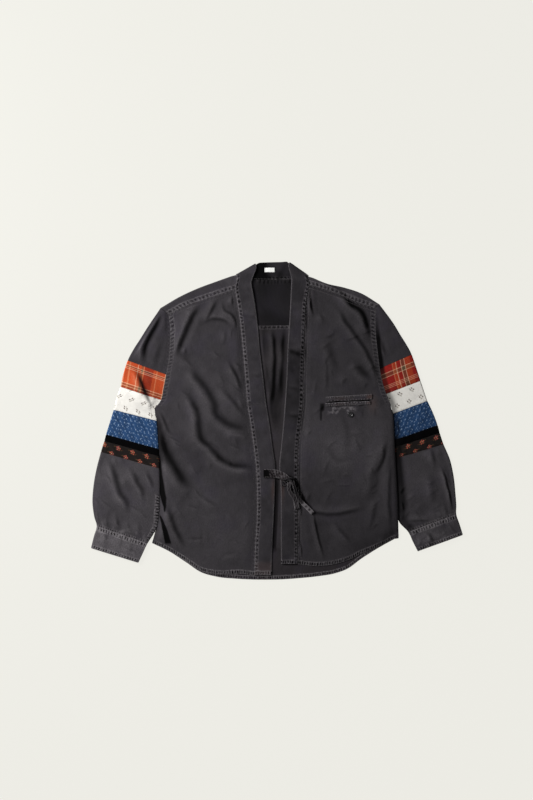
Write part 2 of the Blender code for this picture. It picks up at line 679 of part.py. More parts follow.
def surface_of(piece):
    """A function that gives the height of a piece's outer face."""
    tree = BVHTree.FromPolygons([v.co for v in piece.data.vertices], [p.vertices for p in piece.data.polygons])

    def height(x, y):
        return tree.ray_cast(Vector((x, y, 0.1)), Vector((0, 0, -1)))[0].z

    return height


def build_lip(name, edges, height, columns=8, rows=2):
    """One lip of the pocket, laid on the front."""
    start, end = edges
    grid = []
    for j in range(rows + 1):
        row = []
        for i in range(columns + 1):
            x = mix(start.x, end.x, i / columns)
            y = mix(mix(start.low, end.low, i / columns), mix(start.high, end.high, i / columns), j / rows)
            row.append((x, y, height(x, y) + 2 * CLEAR + CLOTH))
        grid.append(row)
    return cloth(name, grid, lowered(grid, CLOTH), WASHED_DENIM)


def build_button(height):
    """A flat round button with a raised rim."""
    x, y = BUTTON_AT
    bm = bmesh.new()
    bmesh.ops.create_cone(
        bm,
        cap_ends=True,
        segments=20,
        radius1=BUTTON_RADIUS,
        radius2=BUTTON_RADIUS * 0.92,
        depth=BUTTON_HEIGHT,
    )
    crown = [face for face in bm.faces if face.normal.z > 0.9]
    bmesh.ops.inset_region(bm, faces=crown, thickness=0.0013, depth=0)
    bmesh.ops.inset_region(bm, faces=crown, thickness=0.0005, depth=-0.0006)
    top = max(height(x + dx, y + dy) for dx in (-0.006, 0, 0.006) for dy in (-0.006, 0, 0.006))
    bmesh.ops.translate(bm, verts=bm.verts[:], vec=(x, y, top + CLEAR + BUTTON_HEIGHT / 2))
    return keep("pocket_button", bm, COLOURS["button"], 0.35)


def build_label():
    """A small woven label on the inside of the standing band."""
    bm = bmesh.new()
    bmesh.ops.create_cube(bm, size=1)
    bmesh.ops.scale(bm, verts=bm.verts[:], vec=LABEL_SIZE)
    height = DOUBLED + CLEAR + LABEL_SIZE[2] / 2
    bmesh.ops.translate(bm, verts=bm.verts[:], vec=(*LABEL_CENTRE, height))
    return keep("neck_label", bm, COLOURS["label"])


def build_tie(name, tapes):
    """A doubled tape, laid along its middle line, with square ends."""
    outer = []
    for k, tape in enumerate(tapes):
        before, after = tapes[max(k - 1, 0)], tapes[min(k + 1, len(tapes) - 1)]
        way = Vector((after.x - before.x, after.y - before.y)).normalized()
        half = tape.width / 2
        outer.append([(tape.x - way.y * half * s, tape.y + way.x * half * s, tape.z) for s in (-1, 0, 1)])
    return cloth(name, outer, lowered(outer, DOUBLED), WASHED_DENIM)


def build():
    for thing in list(bpy.data.objects):
        bpy.data.objects.remove(thing, do_unlink=True)
    jacket = bpy.data.collections.new("patched_jacket")
    bpy.context.scene.collection.children.link(jacket)
    build_back()
    build_yoke()
    build_front(-1, "front_left")
    front_right = build_front(1, "front_right")
    build_neck_bands()
    build_sleeve(-1, "left")
    build_sleeve(1, "right")
    height = surface_of(front_right)
    build_lip("pocket_upper_lip", UPPER_LIP, height)
    build_lip("pocket_lower_lip", LOWER_LIP, height)
    build_button(height)
    build_label()
    build_tie("tie_left", LEFT_TIE)
    build_tie("tie_right", RIGHT_TIE)


build()
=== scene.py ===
"""The looks of a kimono-style shirt jacket of washed charcoal denim, with five patchwork bands a sleeve.

It lies flat and open on its back, tied once over the opening. Metres, +Z up, +Y towards the neck and +X to
the wearer's left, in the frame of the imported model. Every piece of cloth is a wall between two like grids.
"""

from collections import namedtuple
from math import hypot, pi

import bpy
import numpy as np
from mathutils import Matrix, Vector
from mathutils.bvhtree import BVHTree


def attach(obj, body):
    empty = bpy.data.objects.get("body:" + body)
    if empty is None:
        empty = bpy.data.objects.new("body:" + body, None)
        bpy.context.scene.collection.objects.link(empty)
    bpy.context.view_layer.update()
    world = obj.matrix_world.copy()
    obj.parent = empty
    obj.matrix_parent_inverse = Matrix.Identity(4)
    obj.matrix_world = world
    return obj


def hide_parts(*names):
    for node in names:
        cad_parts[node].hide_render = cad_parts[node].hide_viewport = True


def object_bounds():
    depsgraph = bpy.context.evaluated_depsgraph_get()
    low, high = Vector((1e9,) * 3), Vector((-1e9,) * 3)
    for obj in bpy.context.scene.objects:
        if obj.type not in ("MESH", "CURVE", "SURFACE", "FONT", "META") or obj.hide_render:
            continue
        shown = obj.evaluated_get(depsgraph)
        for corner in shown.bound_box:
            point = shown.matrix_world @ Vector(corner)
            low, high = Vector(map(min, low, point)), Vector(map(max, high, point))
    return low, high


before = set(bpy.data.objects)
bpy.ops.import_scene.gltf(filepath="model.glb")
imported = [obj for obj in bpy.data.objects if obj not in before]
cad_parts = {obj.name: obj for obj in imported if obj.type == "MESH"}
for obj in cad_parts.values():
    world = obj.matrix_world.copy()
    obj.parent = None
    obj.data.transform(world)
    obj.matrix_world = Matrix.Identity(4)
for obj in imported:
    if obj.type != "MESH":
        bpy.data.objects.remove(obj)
cad_low, cad_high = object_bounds()


def rows_of(kind, *rows):
    """The rows of a table, with its columns named."""
    return tuple(kind(*row) for row in rows)


CLOTH = 0.0012  # one layer, with its seam allowances pressed flat
DOUBLED = 0.0024  # neck band, cuffs and ties, two layers
CLEAR = 0.0003  # between a piece and the one that it lies on
PRESSED = CLOTH + CLEAR + CLOTH  # top of a front where it lies on the back
BAND_TOP = CLOTH + CLEAR + DOUBLED  # top of the neck band where it lies on the back
SHOULDER_TOP = 0.005  # top of the folded yoke and of the armhole seams
SLEEVE_TOP = 0.0056  # top of a sleeve's outer fold
CUFF_TOP = 0.0066  # the same of a cuff's
NECK_FOLD_TOP = 0.0058  # top of the neck band where it turns round the neck
FRONT_LOFT = 0.0022  # how far a front stands off the back between its seams
OVERHANG = 0.0068  # how strongly a side that lies uppermost bulges out over its neighbour
ROLL = 0.0070  # the width of that bulge
BODY_SIDE_RISE = 0.0052  # how far the right side of the body stands over the sleeve beside it

# Sections down each sleeve: its inner end, on the armhole and then along the underarm, and its outer fold.
Section = namedtuple("Section", "name inner_x inner_y outer_x outer_y")
LEFT_SLEEVE = rows_of(
    Section,
    ("shoulder", -0.252, 0.248, -0.271, 0.264),
    ("back_yoke", -0.248, 0.216, -0.2975, 0.225),
    ("top", -0.249, 0.177, -0.319, 0.191),
    ("top", -0.252, 0.142, -0.335, 0.166),
    ("plaid", -0.258, 0.108, -0.348, 0.141),
    ("plaid", -0.264, 0.076, -0.358, 0.111),
    ("white", -0.270, 0.048, -0.365, 0.079),
    ("underarm", -0.285, 0.029, -0.374, 0.053),
    ("blue", -0.2835, 0.000, -0.381, 0.025),
    ("blue", -0.2810, -0.033, -0.390, -0.004),
    ("ribbon", -0.2790, -0.066, -0.399, -0.033),
    ("dark", -0.2783, -0.083, -0.403, -0.048),
    ("lower", -0.2773, -0.112, -0.411, -0.074),
    ("lower", -0.2766, -0.146, -0.421, -0.112),
    ("lower", -0.2770, -0.180, -0.428, -0.150),
    ("lower", -0.2785, -0.214, -0.431, -0.190),
    ("lower", -0.2838, -0.252, -0.427, -0.225),
    ("cuff", -0.3050, -0.288, -0.421, -0.248),
    ("cuff", -0.3160, -0.311, -0.428, -0.274),
    ("end", -0.3265, -0.3335, -0.4345, -0.300),
)
RIGHT_SLEEVE = rows_of(
    Section,
    ("shoulder", 0.234, 0.264, 0.243, 0.273),
    ("back_yoke", 0.234, 0.222, 0.2735, 0.232),
    ("top", 0.236, 0.190, 0.2925, 0.201),
    ("top", 0.240, 0.155, 0.3075, 0.177),
    ("plaid", 0.244, 0.122, 0.319, 0.155),
    ("plaid", 0.250, 0.092, 0.330, 0.123),
    ("white", 0.259, 0.062, 0.340, 0.093),
    ("underarm", 0.270, 0.037, 0.348, 0.069),
    ("blue", 0.2733, 0.015, 0.356, 0.046),
    ("blue", 0.2752, -0.017, 0.369, 0.018),
    ("ribbon", 0.2765, -0.047, 0.380, -0.011),
    ("dark", 0.2773, -0.063, 0.385, -0.029),
    ("lower", 0.2787, -0.090, 0.394, -0.056),
    ("lower", 0.2808, -0.126, 0.409, -0.092),
    ("lower", 0.2828, -0.163, 0.418, -0.133),
    ("lower", 0.2846, -0.200, 0.422, -0.172),
    ("lower", 0.2885, -0.236, 0.424, -0.200),
    ("cuff", 0.3110, -0.262, 0.424, -0.221),
    ("cuff", 0.3220, -0.285, 0.432, -0.245),
    ("end", 0.3335, -0.3075, 0.4395, -0.269),
)
UNDERARM = 7  # the number of the section at the foot of the armhole

# The body's side edges below the underarm, down to the hem corners.
Side = namedtuple("Side", "left_x left_y right_x right_y")
BODY_SIDES = rows_of(
    Side,
    (-0.281, -0.010, 0.273, 0.000),
    (-0.278, -0.055, 0.275, -0.050),
    (-0.276, -0.105, 0.278, -0.105),
    (-0.275, -0.155, 0.281, -0.155),
    (-0.276, -0.205, 0.283, -0.200),
    (-0.281, -0.250, 0.284, -0.240),
    (-0.291, -0.288, 0.285, -0.275),
)

# Both edges of the neck band down each front: the seam to the front panel and the free edge.
Band = namedtuple("Band", "y left_seam left_edge right_edge right_seam")
NECK_BAND = rows_of(
    Band,
    (0.320, -0.097, -0.057, 0.036, 0.079),
    (0.270, -0.089, -0.048, 0.034, 0.070),
    (0.220, -0.082, -0.042, 0.031, 0.068),
    (0.156, -0.076, -0.036, 0.027, 0.066),
    (0.099, -0.071, -0.029, 0.025, 0.064),
    (0.037, -0.066, -0.022, 0.021, 0.063),
    (-0.014, -0.058, -0.014, 0.017, 0.057),
    (-0.066, -0.051, -0.007, 0.012, 0.052),
    (-0.110, -0.046, -0.001, 0.008, 0.051),
    (-0.150, -0.044, -0.002, 0.011, 0.051),
    (-0.230, -0.044, -0.005, 0.012, 0.051),
    (-0.290, -0.048, -0.008, 0.012, 0.051),
    (-0.360, -0.050, -0.010, 0.013, 0.051),
)
BAND_JOIN_Y = 0.0365  # the cross seam where the long strip of the band meets the short one at the left foot

# The hems of the back and of the fronts.
Hem = namedtuple("Hem", "x back_y front_y")
HEMS = rows_of(
    Hem,
    (-0.291, -0.288, -0.288),
    (-0.250, -0.308, -0.307),
    (-0.210, -0.334, -0.332),
    (-0.177, -0.356, -0.353),
    (-0.140, -0.367, -0.361),
    (-0.090, -0.3722, -0.360),
    (-0.010, -0.3740, -0.356),
    (0.013, -0.3735, -0.338),
    (0.051, -0.3710, -0.338),
    (0.100, -0.3660, -0.342),
    (0.140, -0.359, -0.337),
    (0.170, -0.3475, -0.328),
    (0.200, -0.3255, -0.314),
    (0.240, -0.300, -0.297),
    (0.285, -0.275, -0.275),
)

# The front yoke seam and the shoulder fold, at even steps from the armhole to the neck band.
Shoulder = namedtuple("Shoulder", "seam_x seam_y fold_x fold_y")
LEFT_SHOULDER = rows_of(
    Shoulder,
    (-0.252, 0.248, -0.271, 0.264),
    (-0.212, 0.269, -0.227, 0.290),
    (-0.173, 0.283, -0.184, 0.310),
    (-0.134, 0.296, -0.141, 0.326),
    (-0.096, 0.309, -0.096, 0.342),
)
RIGHT_SHOULDER = rows_of(
    Shoulder,
    (0.234, 0.264, 0.243, 0.273),
    (0.196, 0.276, 0.202, 0.298),
    (0.157, 0.292, 0.161, 0.312),
    (0.118, 0.307, 0.120, 0.3215),
    (0.079, 0.319, 0.079, 0.3385),
)

# The back neck seam and the top edge of the standing band above it, between the two neck folds.
Neck = namedtuple("Neck", "seam_x seam_y top_x top_y")
BACK_NECK = rows_of(
    Neck,
    (-0.070, 0.3335, -0.040, 0.3700),
    (-0.040, 0.3310, -0.024, 0.3712),
    (-0.008, 0.3305, -0.006, 0.3718),
    (0.024, 0.3310, 0.012, 0.3722),
    (0.053, 0.3330, 0.026, 0.3728),
)
LEFT_NECK_FOLD = ((-0.0945, 0.3430), (-0.0480, 0.3690))  # its seam end and its free end
RIGHT_NECK_FOLD = ((0.0775, 0.3400), (0.0325, 0.3720))

# Each fold follows the dark line at its foot. Its ridge lies to the right of that way, falls to the line
# within about twice its width, and fades slowly on the side that faces the light.
# A depth of painted shade other than its height's is given last.
Fold = namedtuple("Fold", "path width height depth", defaults=(None,))
LEFT_FRONT_FOLDS = (
    Fold(
        ((-0.177, 0.270), (-0.196, 0.240), (-0.208, 0.211), (-0.223, 0.172), (-0.234, 0.150)),
        0.0085, 0.0070,
    ),
    Fold(((-0.137, 0.283), (-0.152, 0.254), (-0.166, 0.229)), 0.0056, 0.0042, 0.95),
    Fold(((-0.107, 0.2225), (-0.126, 0.2345), (-0.147, 0.2375), (-0.168, 0.228)), 0.0056, 0.0038, 0.90),
    Fold(
        ((-0.123, 0.276), (-0.1185, 0.260), (-0.102, 0.2495), (-0.0935, 0.2315), (-0.0935, 0.215)),
        0.0046, 0.0038, 0.95,
    ),
    Fold(((-0.1005, 0.293), (-0.0995, 0.271)), 0.0035, 0.0028, 0.95),
    Fold(((-0.118, 0.212), (-0.117, 0.194), (-0.121, 0.176)), 0.0050, 0.0015),
    Fold(((-0.240, 0.240), (-0.242, 0.216), (-0.241, 0.192)), 0.0040, 0.0034, 1.0),
    Fold(((-0.209, 0.170), (-0.2115, 0.154)), 0.0040, 0.0030),
    Fold(((-0.226, 0.176), (-0.214, 0.150), (-0.196, 0.135)), 0.0140, 0.0018),
    Fold(
        (
            (-0.196, 0.128), (-0.186, 0.106), (-0.162, 0.076), (-0.1445, 0.043),
            (-0.137, 0.012), (-0.107, -0.0095), (-0.080, -0.017), (-0.062, -0.023),
        ),
        0.0138, 0.0052, 0.92,
    ),
    Fold(((-0.128, 0.080), (-0.104, 0.050), (-0.082, 0.022), (-0.068, 0.010)), 0.0080, 0.0026),
    Fold(((-0.110, 0.139), (-0.0935, 0.109), (-0.0785, 0.076)), 0.0056, 0.0038, 0.95),
    Fold(
        (
            (-0.2035, 0.066), (-0.1935, 0.040), (-0.1815, 0.010), (-0.1765, -0.040), (-0.1535, -0.0635),
            (-0.130, -0.090), (-0.103, -0.102), (-0.073, -0.106), (-0.050, -0.1135),
        ),
        0.0105, 0.0056, 0.98,
    ),
    Fold(((-0.107, -0.026), (-0.085, -0.030), (-0.065, -0.035)), 0.0040, 0.0016),
    Fold(((-0.2725, 0.025), (-0.258, -0.006), (-0.2496, -0.025), (-0.236, -0.0345)), 0.0050, 0.0036),
    Fold(
        (
            (-0.2687, -0.020), (-0.262, -0.052), (-0.250, -0.082),
            (-0.230, -0.117), (-0.211, -0.144), (-0.1975, -0.154),
        ),
        0.0170, 0.0070, 1.35,
    ),
    Fold(((-0.180, -0.175), (-0.157, -0.190), (-0.134, -0.202)), 0.0060, 0.0018),
    Fold(((-0.2560, -0.190), (-0.238, -0.2450), (-0.210, -0.298)), 0.0085, 0.0040, 0.80),
    Fold(((-0.2735, -0.218), (-0.2630, -0.250), (-0.2520, -0.290)), 0.0080, 0.0046, 0.40),
    Fold(((-0.132, -0.318), (-0.110, -0.312), (-0.088, -0.305)), 0.0060, 0.0014),
)
RIGHT_FRONT_FOLDS = (
    Fold(((0.0795, 0.312), (0.0825, 0.270), (0.0884, 0.2464)), 0.0042, 0.0042, 1.5),
    Fold(
        (
            (0.1408, 0.310), (0.1617, 0.2973), (0.1797, 0.2733),
            (0.2036, 0.2524), (0.217, 0.2195), (0.224, 0.196),
        ),
        0.0092, 0.0064, 1.15,
    ),
    Fold(
        (
            (0.150, 0.2614), (0.1647, 0.2344), (0.1826, 0.2105), (0.2006, 0.1837),
            (0.2155, 0.160), (0.2395, 0.115), (0.250, 0.088),
        ),
        0.0070, 0.0034,
    ),
    Fold(((0.1045, 0.2535), (0.1168, 0.2315)), 0.0045, 0.0020),
    Fold(((0.120, 0.190), (0.136, 0.150), (0.150, 0.112)), 0.0120, 0.0016),
    Fold(((0.190, 0.140), (0.205, 0.116), (0.228, 0.098)), 0.0140, 0.0022, 0.70),
    Fold(((0.122, 0.128), (0.120, 0.100), (0.119, 0.066)), 0.0055, 0.0012, 0.50),
    Fold(((0.262, -0.050), (0.251, -0.098), (0.232, -0.125)), 0.0060, 0.0036, 0.80),
    Fold(((0.256, -0.060), (0.243, -0.102), (0.232, -0.144), (0.223, -0.190)), 0.0150, 0.0020, 0.55),
    Fold(((0.272, -0.100), (0.268, -0.180), (0.270, -0.250)), 0.0060, 0.0020),
    Fold(
        (
            (0.203, -0.2085), (0.178, -0.214), (0.147, -0.2215),
            (0.113, -0.2215), (0.091, -0.214), (0.080, -0.200),
        ),
        0.0062, 0.0034, 0.80,
    ),
    Fold(((0.238, -0.186), (0.230, -0.222), (0.224, -0.262)), 0.0070, 0.0020),
    Fold(((0.0898, -0.214), (0.0974, -0.2595), (0.113, -0.324)), 0.0028, 0.0034, 1.8),
    Fold(((0.1397, -0.237), (0.155, -0.2595), (0.178, -0.2864)), 0.0060, 0.0026, 0.65),
    Fold(((0.0590, -0.200), (0.0615, -0.228)), 0.0028, 0.0030, 1.6),
    Fold(((0.0580, -0.280), (0.0630, -0.320)), 0.0028, 0.0030, 1.6),
    Fold(((0.156, 0.020), (0.170, -0.030), (0.166, -0.085)), 0.0110, 0.0012, 0.22),
    Fold(((0.120, -0.060), (0.145, -0.092), (0.185, -0.088)), 0.0090, 0.0014, 0.28),
)
YOKE_FOLDS = (
    Fold(((0.116, 0.3225), (0.1408, 0.3123), (0.1617, 0.2973), (0.178, 0.281)), 0.0055, 0.0040),
)
LEFT_SLEEVE_FOLDS = (
    Fold(
        ((-0.268, 0.257), (-0.284, 0.215), (-0.301, 0.182), (-0.3065, 0.160), (-0.3100, 0.135)),
        0.0092, 0.0062, 1.45,
    ),
    Fold(
        ((-0.3300, 0.121), (-0.3180, 0.096), (-0.3105, 0.0775), (-0.3035, 0.0595), (-0.2960, 0.043)),
        0.0090, 0.0056, 1.75,
    ),
    Fold(((-0.3040, 0.0600), (-0.2975, 0.0450), (-0.2890, 0.0300)), 0.0040, 0.0036, 1.0),
    Fold(((-0.3080, 0.112), (-0.2990, 0.090), (-0.2930, 0.066)), 0.0130, 0.0010, 0.42),
    Fold(((-0.262, 0.190), (-0.276, 0.150), (-0.286, 0.118)), 0.0080, 0.0016),
    Fold(
        ((-0.3885, -0.092), (-0.376, -0.128), (-0.3655, -0.170), (-0.3505, -0.190), (-0.343, -0.218)),
        0.0085, 0.0050, 0.90,
    ),
    Fold(((-0.3555, -0.131), (-0.352, -0.153)), 0.0034, 0.0028),
    Fold(((-0.341, -0.108), (-0.3285, -0.138), (-0.314, -0.162), (-0.3088, -0.192)), 0.0070, 0.0036, 0.85),
    Fold(((-0.304, -0.115), (-0.2925, -0.142), (-0.286, -0.165)), 0.0066, 0.0024, 0.70),
    Fold(((-0.419, -0.212), (-0.418, -0.228), (-0.416, -0.244)), 0.0040, 0.0030),
    Fold(((-0.398, -0.226), (-0.396, -0.239), (-0.394, -0.252)), 0.0040, 0.0024),
    Fold(((-0.374, -0.216), (-0.371, -0.237), (-0.368, -0.258)), 0.0045, 0.0028),
    Fold(((-0.348, -0.232), (-0.344, -0.250), (-0.340, -0.268)), 0.0045, 0.0024),
    Fold(((-0.322, -0.238), (-0.319, -0.258), (-0.316, -0.278)), 0.0050, 0.0022),
    Fold(((-0.395, -0.262), (-0.399, -0.276), (-0.402, -0.290)), 0.0050, 0.0012),
    Fold(((-0.362, -0.272), (-0.364, -0.289), (-0.366, -0.306)), 0.0060, 0.0014),
    Fold(((-0.334, -0.285), (-0.340, -0.302), (-0.345, -0.318)), 0.0050, 0.0010),
)
RIGHT_SLEEVE_FOLDS = (
    Fold(((0.247, 0.192), (0.254, 0.170), (0.260, 0.150)), 0.0055, 0.0030),
    Fold(((0.300, 0.232), (0.310, 0.212), (0.318, 0.190)), 0.0080, 0.0020),
    Fold(((0.390, -0.108), (0.401, -0.1425), (0.4135, -0.192), (0.418, -0.210)), 0.0031, 0.0050, 1.8),
    Fold(((0.368, -0.064), (0.371, -0.082), (0.374, -0.100)), 0.0060, 0.0034),
    Fold(((0.364, -0.120), (0.372, -0.160), (0.374, -0.200)), 0.0100, 0.0022),
    Fold(((0.364, -0.2355), (0.335, -0.237), (0.307, -0.2365)), 0.0032, 0.0034, 1.2),
    Fold(((0.384, -0.211), (0.389, -0.217), (0.3935, -0.224)), 0.0040, 0.0024),
    Fold(((0.398, -0.196), (0.402, -0.211), (0.406, -0.226)), 0.0040, 0.0020),
    Fold(((0.372, -0.206), (0.375, -0.222), (0.378, -0.238)), 0.0040, 0.0014),
    Fold(((0.357, -0.262), (0.364, -0.274), (0.371, -0.287)), 0.0055, 0.0024, 1.3),
)
BACK_FOLDS = (
    Fold(
        ((-0.009, 0.214), (-0.001, 0.170), (-0.003, 0.120), (-0.006, 0.070), (-0.011, 0.036)),
        0.0048, 0.0046,
    ),
    Fold(((-0.030, 0.206), (-0.026, 0.150), (-0.018, 0.090)), 0.0036, 0.0024),
    Fold(((0.018, 0.212), (0.016, 0.140), (0.010, 0.060)), 0.0042, 0.0032),
)
BAND_FOLDS = (
    Fold(((-0.040, 0.240), (-0.058, 0.242), (-0.080, 0.246)), 0.0050, 0.0012),
    Fold(((-0.034, 0.101), (-0.044, 0.102), (-0.058, 0.106)), 0.0045, 0.0016),
    Fold(((0.062, 0.150), (0.044, 0.158), (0.026, 0.163)), 0.0075, 0.0020, 0.50),
    Fold(((0.052, 0.074), (0.040, 0.075), (0.028, 0.077)), 0.0045, 0.0014),
    Fold(((0.058, 0.010), (0.045, 0.010), (0.028, 0.012)), 0.0045, 0.0018),
)
# The shadow painted on the cloth beside the raised ends of the ties.
TIE_SHADOW = (
    Fold(
        ((0.036, -0.132), (0.0485, -0.146), (0.0555, -0.168), (0.066, -0.188), (0.0845, -0.206)),
        0.0052, 0.0060, 1.6,
    ),
)
FULL_FOLD = 0.0068  # a fold this high gets its whole depth of painted shade on its lee side

SPACING = 0.0022  # between the rows of a visible piece
ROPE = 0.0095  # from one pucker to the next along a seam
ROPE_HEIGHT = 0.00062
HEM_ROPE = 0.0058  # from one pucker to the next along the hems
HEM_DEPTH = 0.0085  # the width of what is turned under at the hems
HEM_REACH = 0.0095  # how far the puckers go in from the hems
HEM_ROWS = (0.0018, 0.0074)  # the hems' two rows of stitches, from the edge
YOKE_ROWS = (0.0022, 0.0080)  # those along the front yoke seams, on the yoke
PANEL_ROWS = (0.0020, 0.0082)  # those along a front's top and its neck band
ARMHOLE_ROWS = (0.0022, 0.0105)  # those along the armhole, on the front
STITCH = (0.0024, 0.00055, 0.00042)  # length, width and height
STITCH_PITCH = 0.0034
DEEPEST = 1.35  # the shade of a place that no light reaches
NO_SEAM = 9.0  # a place across a seam's puckers that is well off them
TO_THE_END = 9.0  # further along than any edge is long

THREADS = []  # every stitch, as its place, its direction and the way up there


# Numbers over grids of points


def mix(a, b, part):
    """From a to b, as the part goes from 0 to 1."""
    return a + (b - a) * part


def ease(part):
    """The part between 0 and 1, with both of its ends eased."""
    part = np.clip(part, 0.0, 1.0)
    return part * part * (3 - 2 * part)


def past(value, start, reach):
    """0 up to a start, and 1 from a reach beyond it on."""
    return ease((value - start) / reach)


def until(value, end, reach):
    """0 from an end on, and 1 up to a reach before it."""
    return ease((end - value) / reach)


def beside(away, reach, flat=0.0):
    """1 beside an edge, and 0 from a reach beyond its flat part on."""
    return 1 - ease((away - flat) / reach)


def bell(value, middle, half):
    """1 in the middle of a rounded bump, and about 0 from twice its half width on."""
    return np.exp(-(((value - middle) / half) ** 2))


def mound(x, y, middle, half):
    """The same on a plane."""
    return np.exp(-(((x - middle[0]) / half[0]) ** 2) - ((y - middle[1]) / half[1]) ** 2)


def curve(places, values, at):
    """A smooth curve through values at rising places. The values can be numbers, points or rows of points."""
    places, values, at = np.asarray(places, float), np.asarray(values, float), np.asarray(at, float)
    slopes = np.gradient(values, places, axis=0)
    i = np.clip(np.searchsorted(places, at) - 1, 0, len(places) - 2)
    more = (1,) * (values.ndim - 1)
    step = (places[i + 1] - places[i]).reshape(at.shape + more)
    t = (at - places[i]).reshape(at.shape + more) / step
    ends = values[i] * (2 * t**3 - 3 * t**2 + 1) + values[i + 1] * (3 * t**2 - 2 * t**3)
    return ends + step * (slopes[i] * (t**3 - 2 * t**2 + t) + slopes[i + 1] * (t**3 - t**2))


def column_of(table, column, key, at):
    """One column of a table, read smoothly by another that rises or falls."""
    rows = sorted(table, key=lambda row: getattr(row, key))
    return curve([getattr(row, key) for row in rows], [getattr(row, column) for row in rows], at)


def along(table, fields, part):
    """Fields of an evenly spaced table, read smoothly from 0 at its first row to 1 at its last."""
    places = np.linspace(0, 1, len(table))
    return [curve(places, [getattr(row, field) for row in table], part) for field in fields]


def graded(count, ends=0.5):
    """Places from 0 to 1 that lie closer together towards both ends."""
    even = np.linspace(0, 1, count + 1)
    return even - ends * np.sin(2 * pi * even) / (2 * pi)


def running(points):
    """The length along a line of points, at each of them."""
    return np.concatenate([[0], np.cumsum(np.linalg.norm(np.diff(points, axis=0), axis=1))])


def even_stations(line, first, last, spacing=SPACING):
    """Station numbers that divide a line evenly, where line gives the points at station numbers."""
    fine = np.linspace(first, last, 500)
    run = running(line(fine))
    return np.interp(np.linspace(0, run[-1], max(2, round(run[-1] / spacing)) + 1), run, fine)


def wander(x, y, size, seed):
    """Smooth seeded noise from -1 to 1, with features about size across."""
    rng = np.random.default_rng(seed)
    table, turn = rng.uniform(-1, 1, (64, 64)), rng.uniform(0, pi)
    u = (x * np.cos(turn) - y * np.sin(turn)) / size + 31.3
    v = (x * np.sin(turn) + y * np.cos(turn)) / size + 17.7
    i, j = np.floor(u).astype(int), np.floor(v).astype(int)
    fu, fv = ease(u - i), ease(v - j)
    rows = [mix(table[i % 64, (j + k) % 64], table[(i + 1) % 64, (j + k) % 64], fu) for k in (0, 1)]
    return mix(rows[0], rows[1], fv)


def crumple(x, y, seed):
    """The small unevenness of washed cloth: broad swells, soft dents and a fine crinkle."""
    swell = wander(x, y, 0.070, seed) * 0.0011 + wander(x, y * 0.7, 0.034, seed + 1) * 0.0006
    dents = wander(x, y, 0.017, seed + 2) * 0.00028 + wander(x, y, 0.009, seed + 3) * 0.00012
    return swell + dents + wander(x, y, 0.005, seed + 4) * 0.00006


def folded(folds, x, y, seed=0):
    """How far the folds lift the cloth, the painted shade at their feet, and their paler ridges.

    A fold wavers a little along its way, and sinks towards both of its ends.
    """
    lift, lee_shade, crest = np.zeros_like(x), np.zeros_like(x), np.zeros_like(x)
    waver = 0.0020 * wander(x, y, 0.036, seed + 11) + 0.0008 * wander(x, y, 0.012, seed + 12)
    for fold in folds:
        corners = np.arange(len(fold.path))
        path = curve(corners, fold.path, np.linspace(0, corners[-1], 8 * corners[-1] + 1))
        run, nearest = running(path), np.full_like(x, np.inf)
        aside, at = np.zeros_like(x), np.zeros_like(x)
        for (ax, ay), (bx, by), start, end in zip(path, path[1:], run, run[1:]):
            dx, dy, length = bx - ax, by - ay, end - start
            t = ((x - ax) * dx + (y - ay) * dy) / length**2
            beyond = np.clip(t, 0 if start > 0 else -np.inf, 1 if end < run[-1] else np.inf)
            away = np.hypot(x - ax - dx * beyond, y - ay - dy * beyond)
            closer = away < nearest
            nearest = np.where(closer, away, nearest)
            side = ((y - ay) * dx - (x - ax) * dy) / length
            aside = np.where(closer, np.copysign(away, side), aside)
            at = np.where(closer, start + beyond * length, at)
        fade = min(0.40 * run[-1], 0.034)
        shown = ease((at + 0.25 * fade) / (1.25 * fade))
        shown = shown * ease((run[-1] - at + 0.25 * fade) / (1.25 * fade))
        aside = aside + waver
        from_ridge = (aside + 1.25 * fold.width) / fold.width
        steep, gentle = np.exp(-(from_ridge**2)), 1 / (1 + (from_ridge / 2.4) ** 2) ** 2
        far_bank = 0.30 * bell(aside, 1.5 * fold.width, 1.1 * fold.width)
        strength = ((fold.height / FULL_FOLD) ** 0.7 if fold.depth is None else fold.depth) * shown
        lift += fold.height * (np.where(from_ridge > 0, steep, gentle) + far_bank) * shown
        # painted shade along the fold's foot
        lee_shade += strength * bell(aside, -0.15 * fold.width, 0.64 * fold.width)
        # a paler ridge: partly wear and partly painted highlight
        crest += strength * bell(from_ridge, 0.15, 0.55)
    return blurred(lift, 5), np.clip(blurred(lee_shade, 1), 0, 1.8), np.clip(crest, 0, 1)


def creases(count, seed, low, high, lean=0.5):
    """Short shallow folds scattered over an area, most of them close to one lean from upright."""
    rng = np.random.default_rng(seed)
    found = []
    for x, y in rng.uniform(low, high, (count, 2)):
        turn = lean + rng.normal(0, 0.6)
        reach, bend = rng.uniform(0.007, 0.020), rng.uniform(-0.003, 0.003)
        way, side = np.array([np.sin(turn), -np.cos(turn)]), np.array([np.cos(turn), np.sin(turn)])
        points = [
            np.array([x, y]) + way * reach * step + side * bend * (1 - step * step) for step in (-1, 0, 1)
        ]
        width, height = rng.uniform(0.0022, 0.0044), rng.uniform(0.0005, 0.0015)
        depth = rng.uniform(0.25, 0.75)
        found.append(Fold(tuple(map(tuple, points)), width, height, depth))
    return found


def blurred(field, passes):
    """A field smoothed over its nearest points, time and again."""
    for _ in range(passes):
        for axis in (0, 1):
            pad = [(1, 1) if a == axis else (0, 0) for a in (0, 1)]
            wide = np.pad(field, pad, mode="edge")
            low, high = (wide[:-2], wide[2:]) if axis == 0 else (wide[:, :-2], wide[:, 2:])
            field = field / 2 + (low + high) / 4
    return field


# Pieces of cloth


Edge = namedtuple("Edge", "away run")  # at every point, the distance from an edge and the length along it


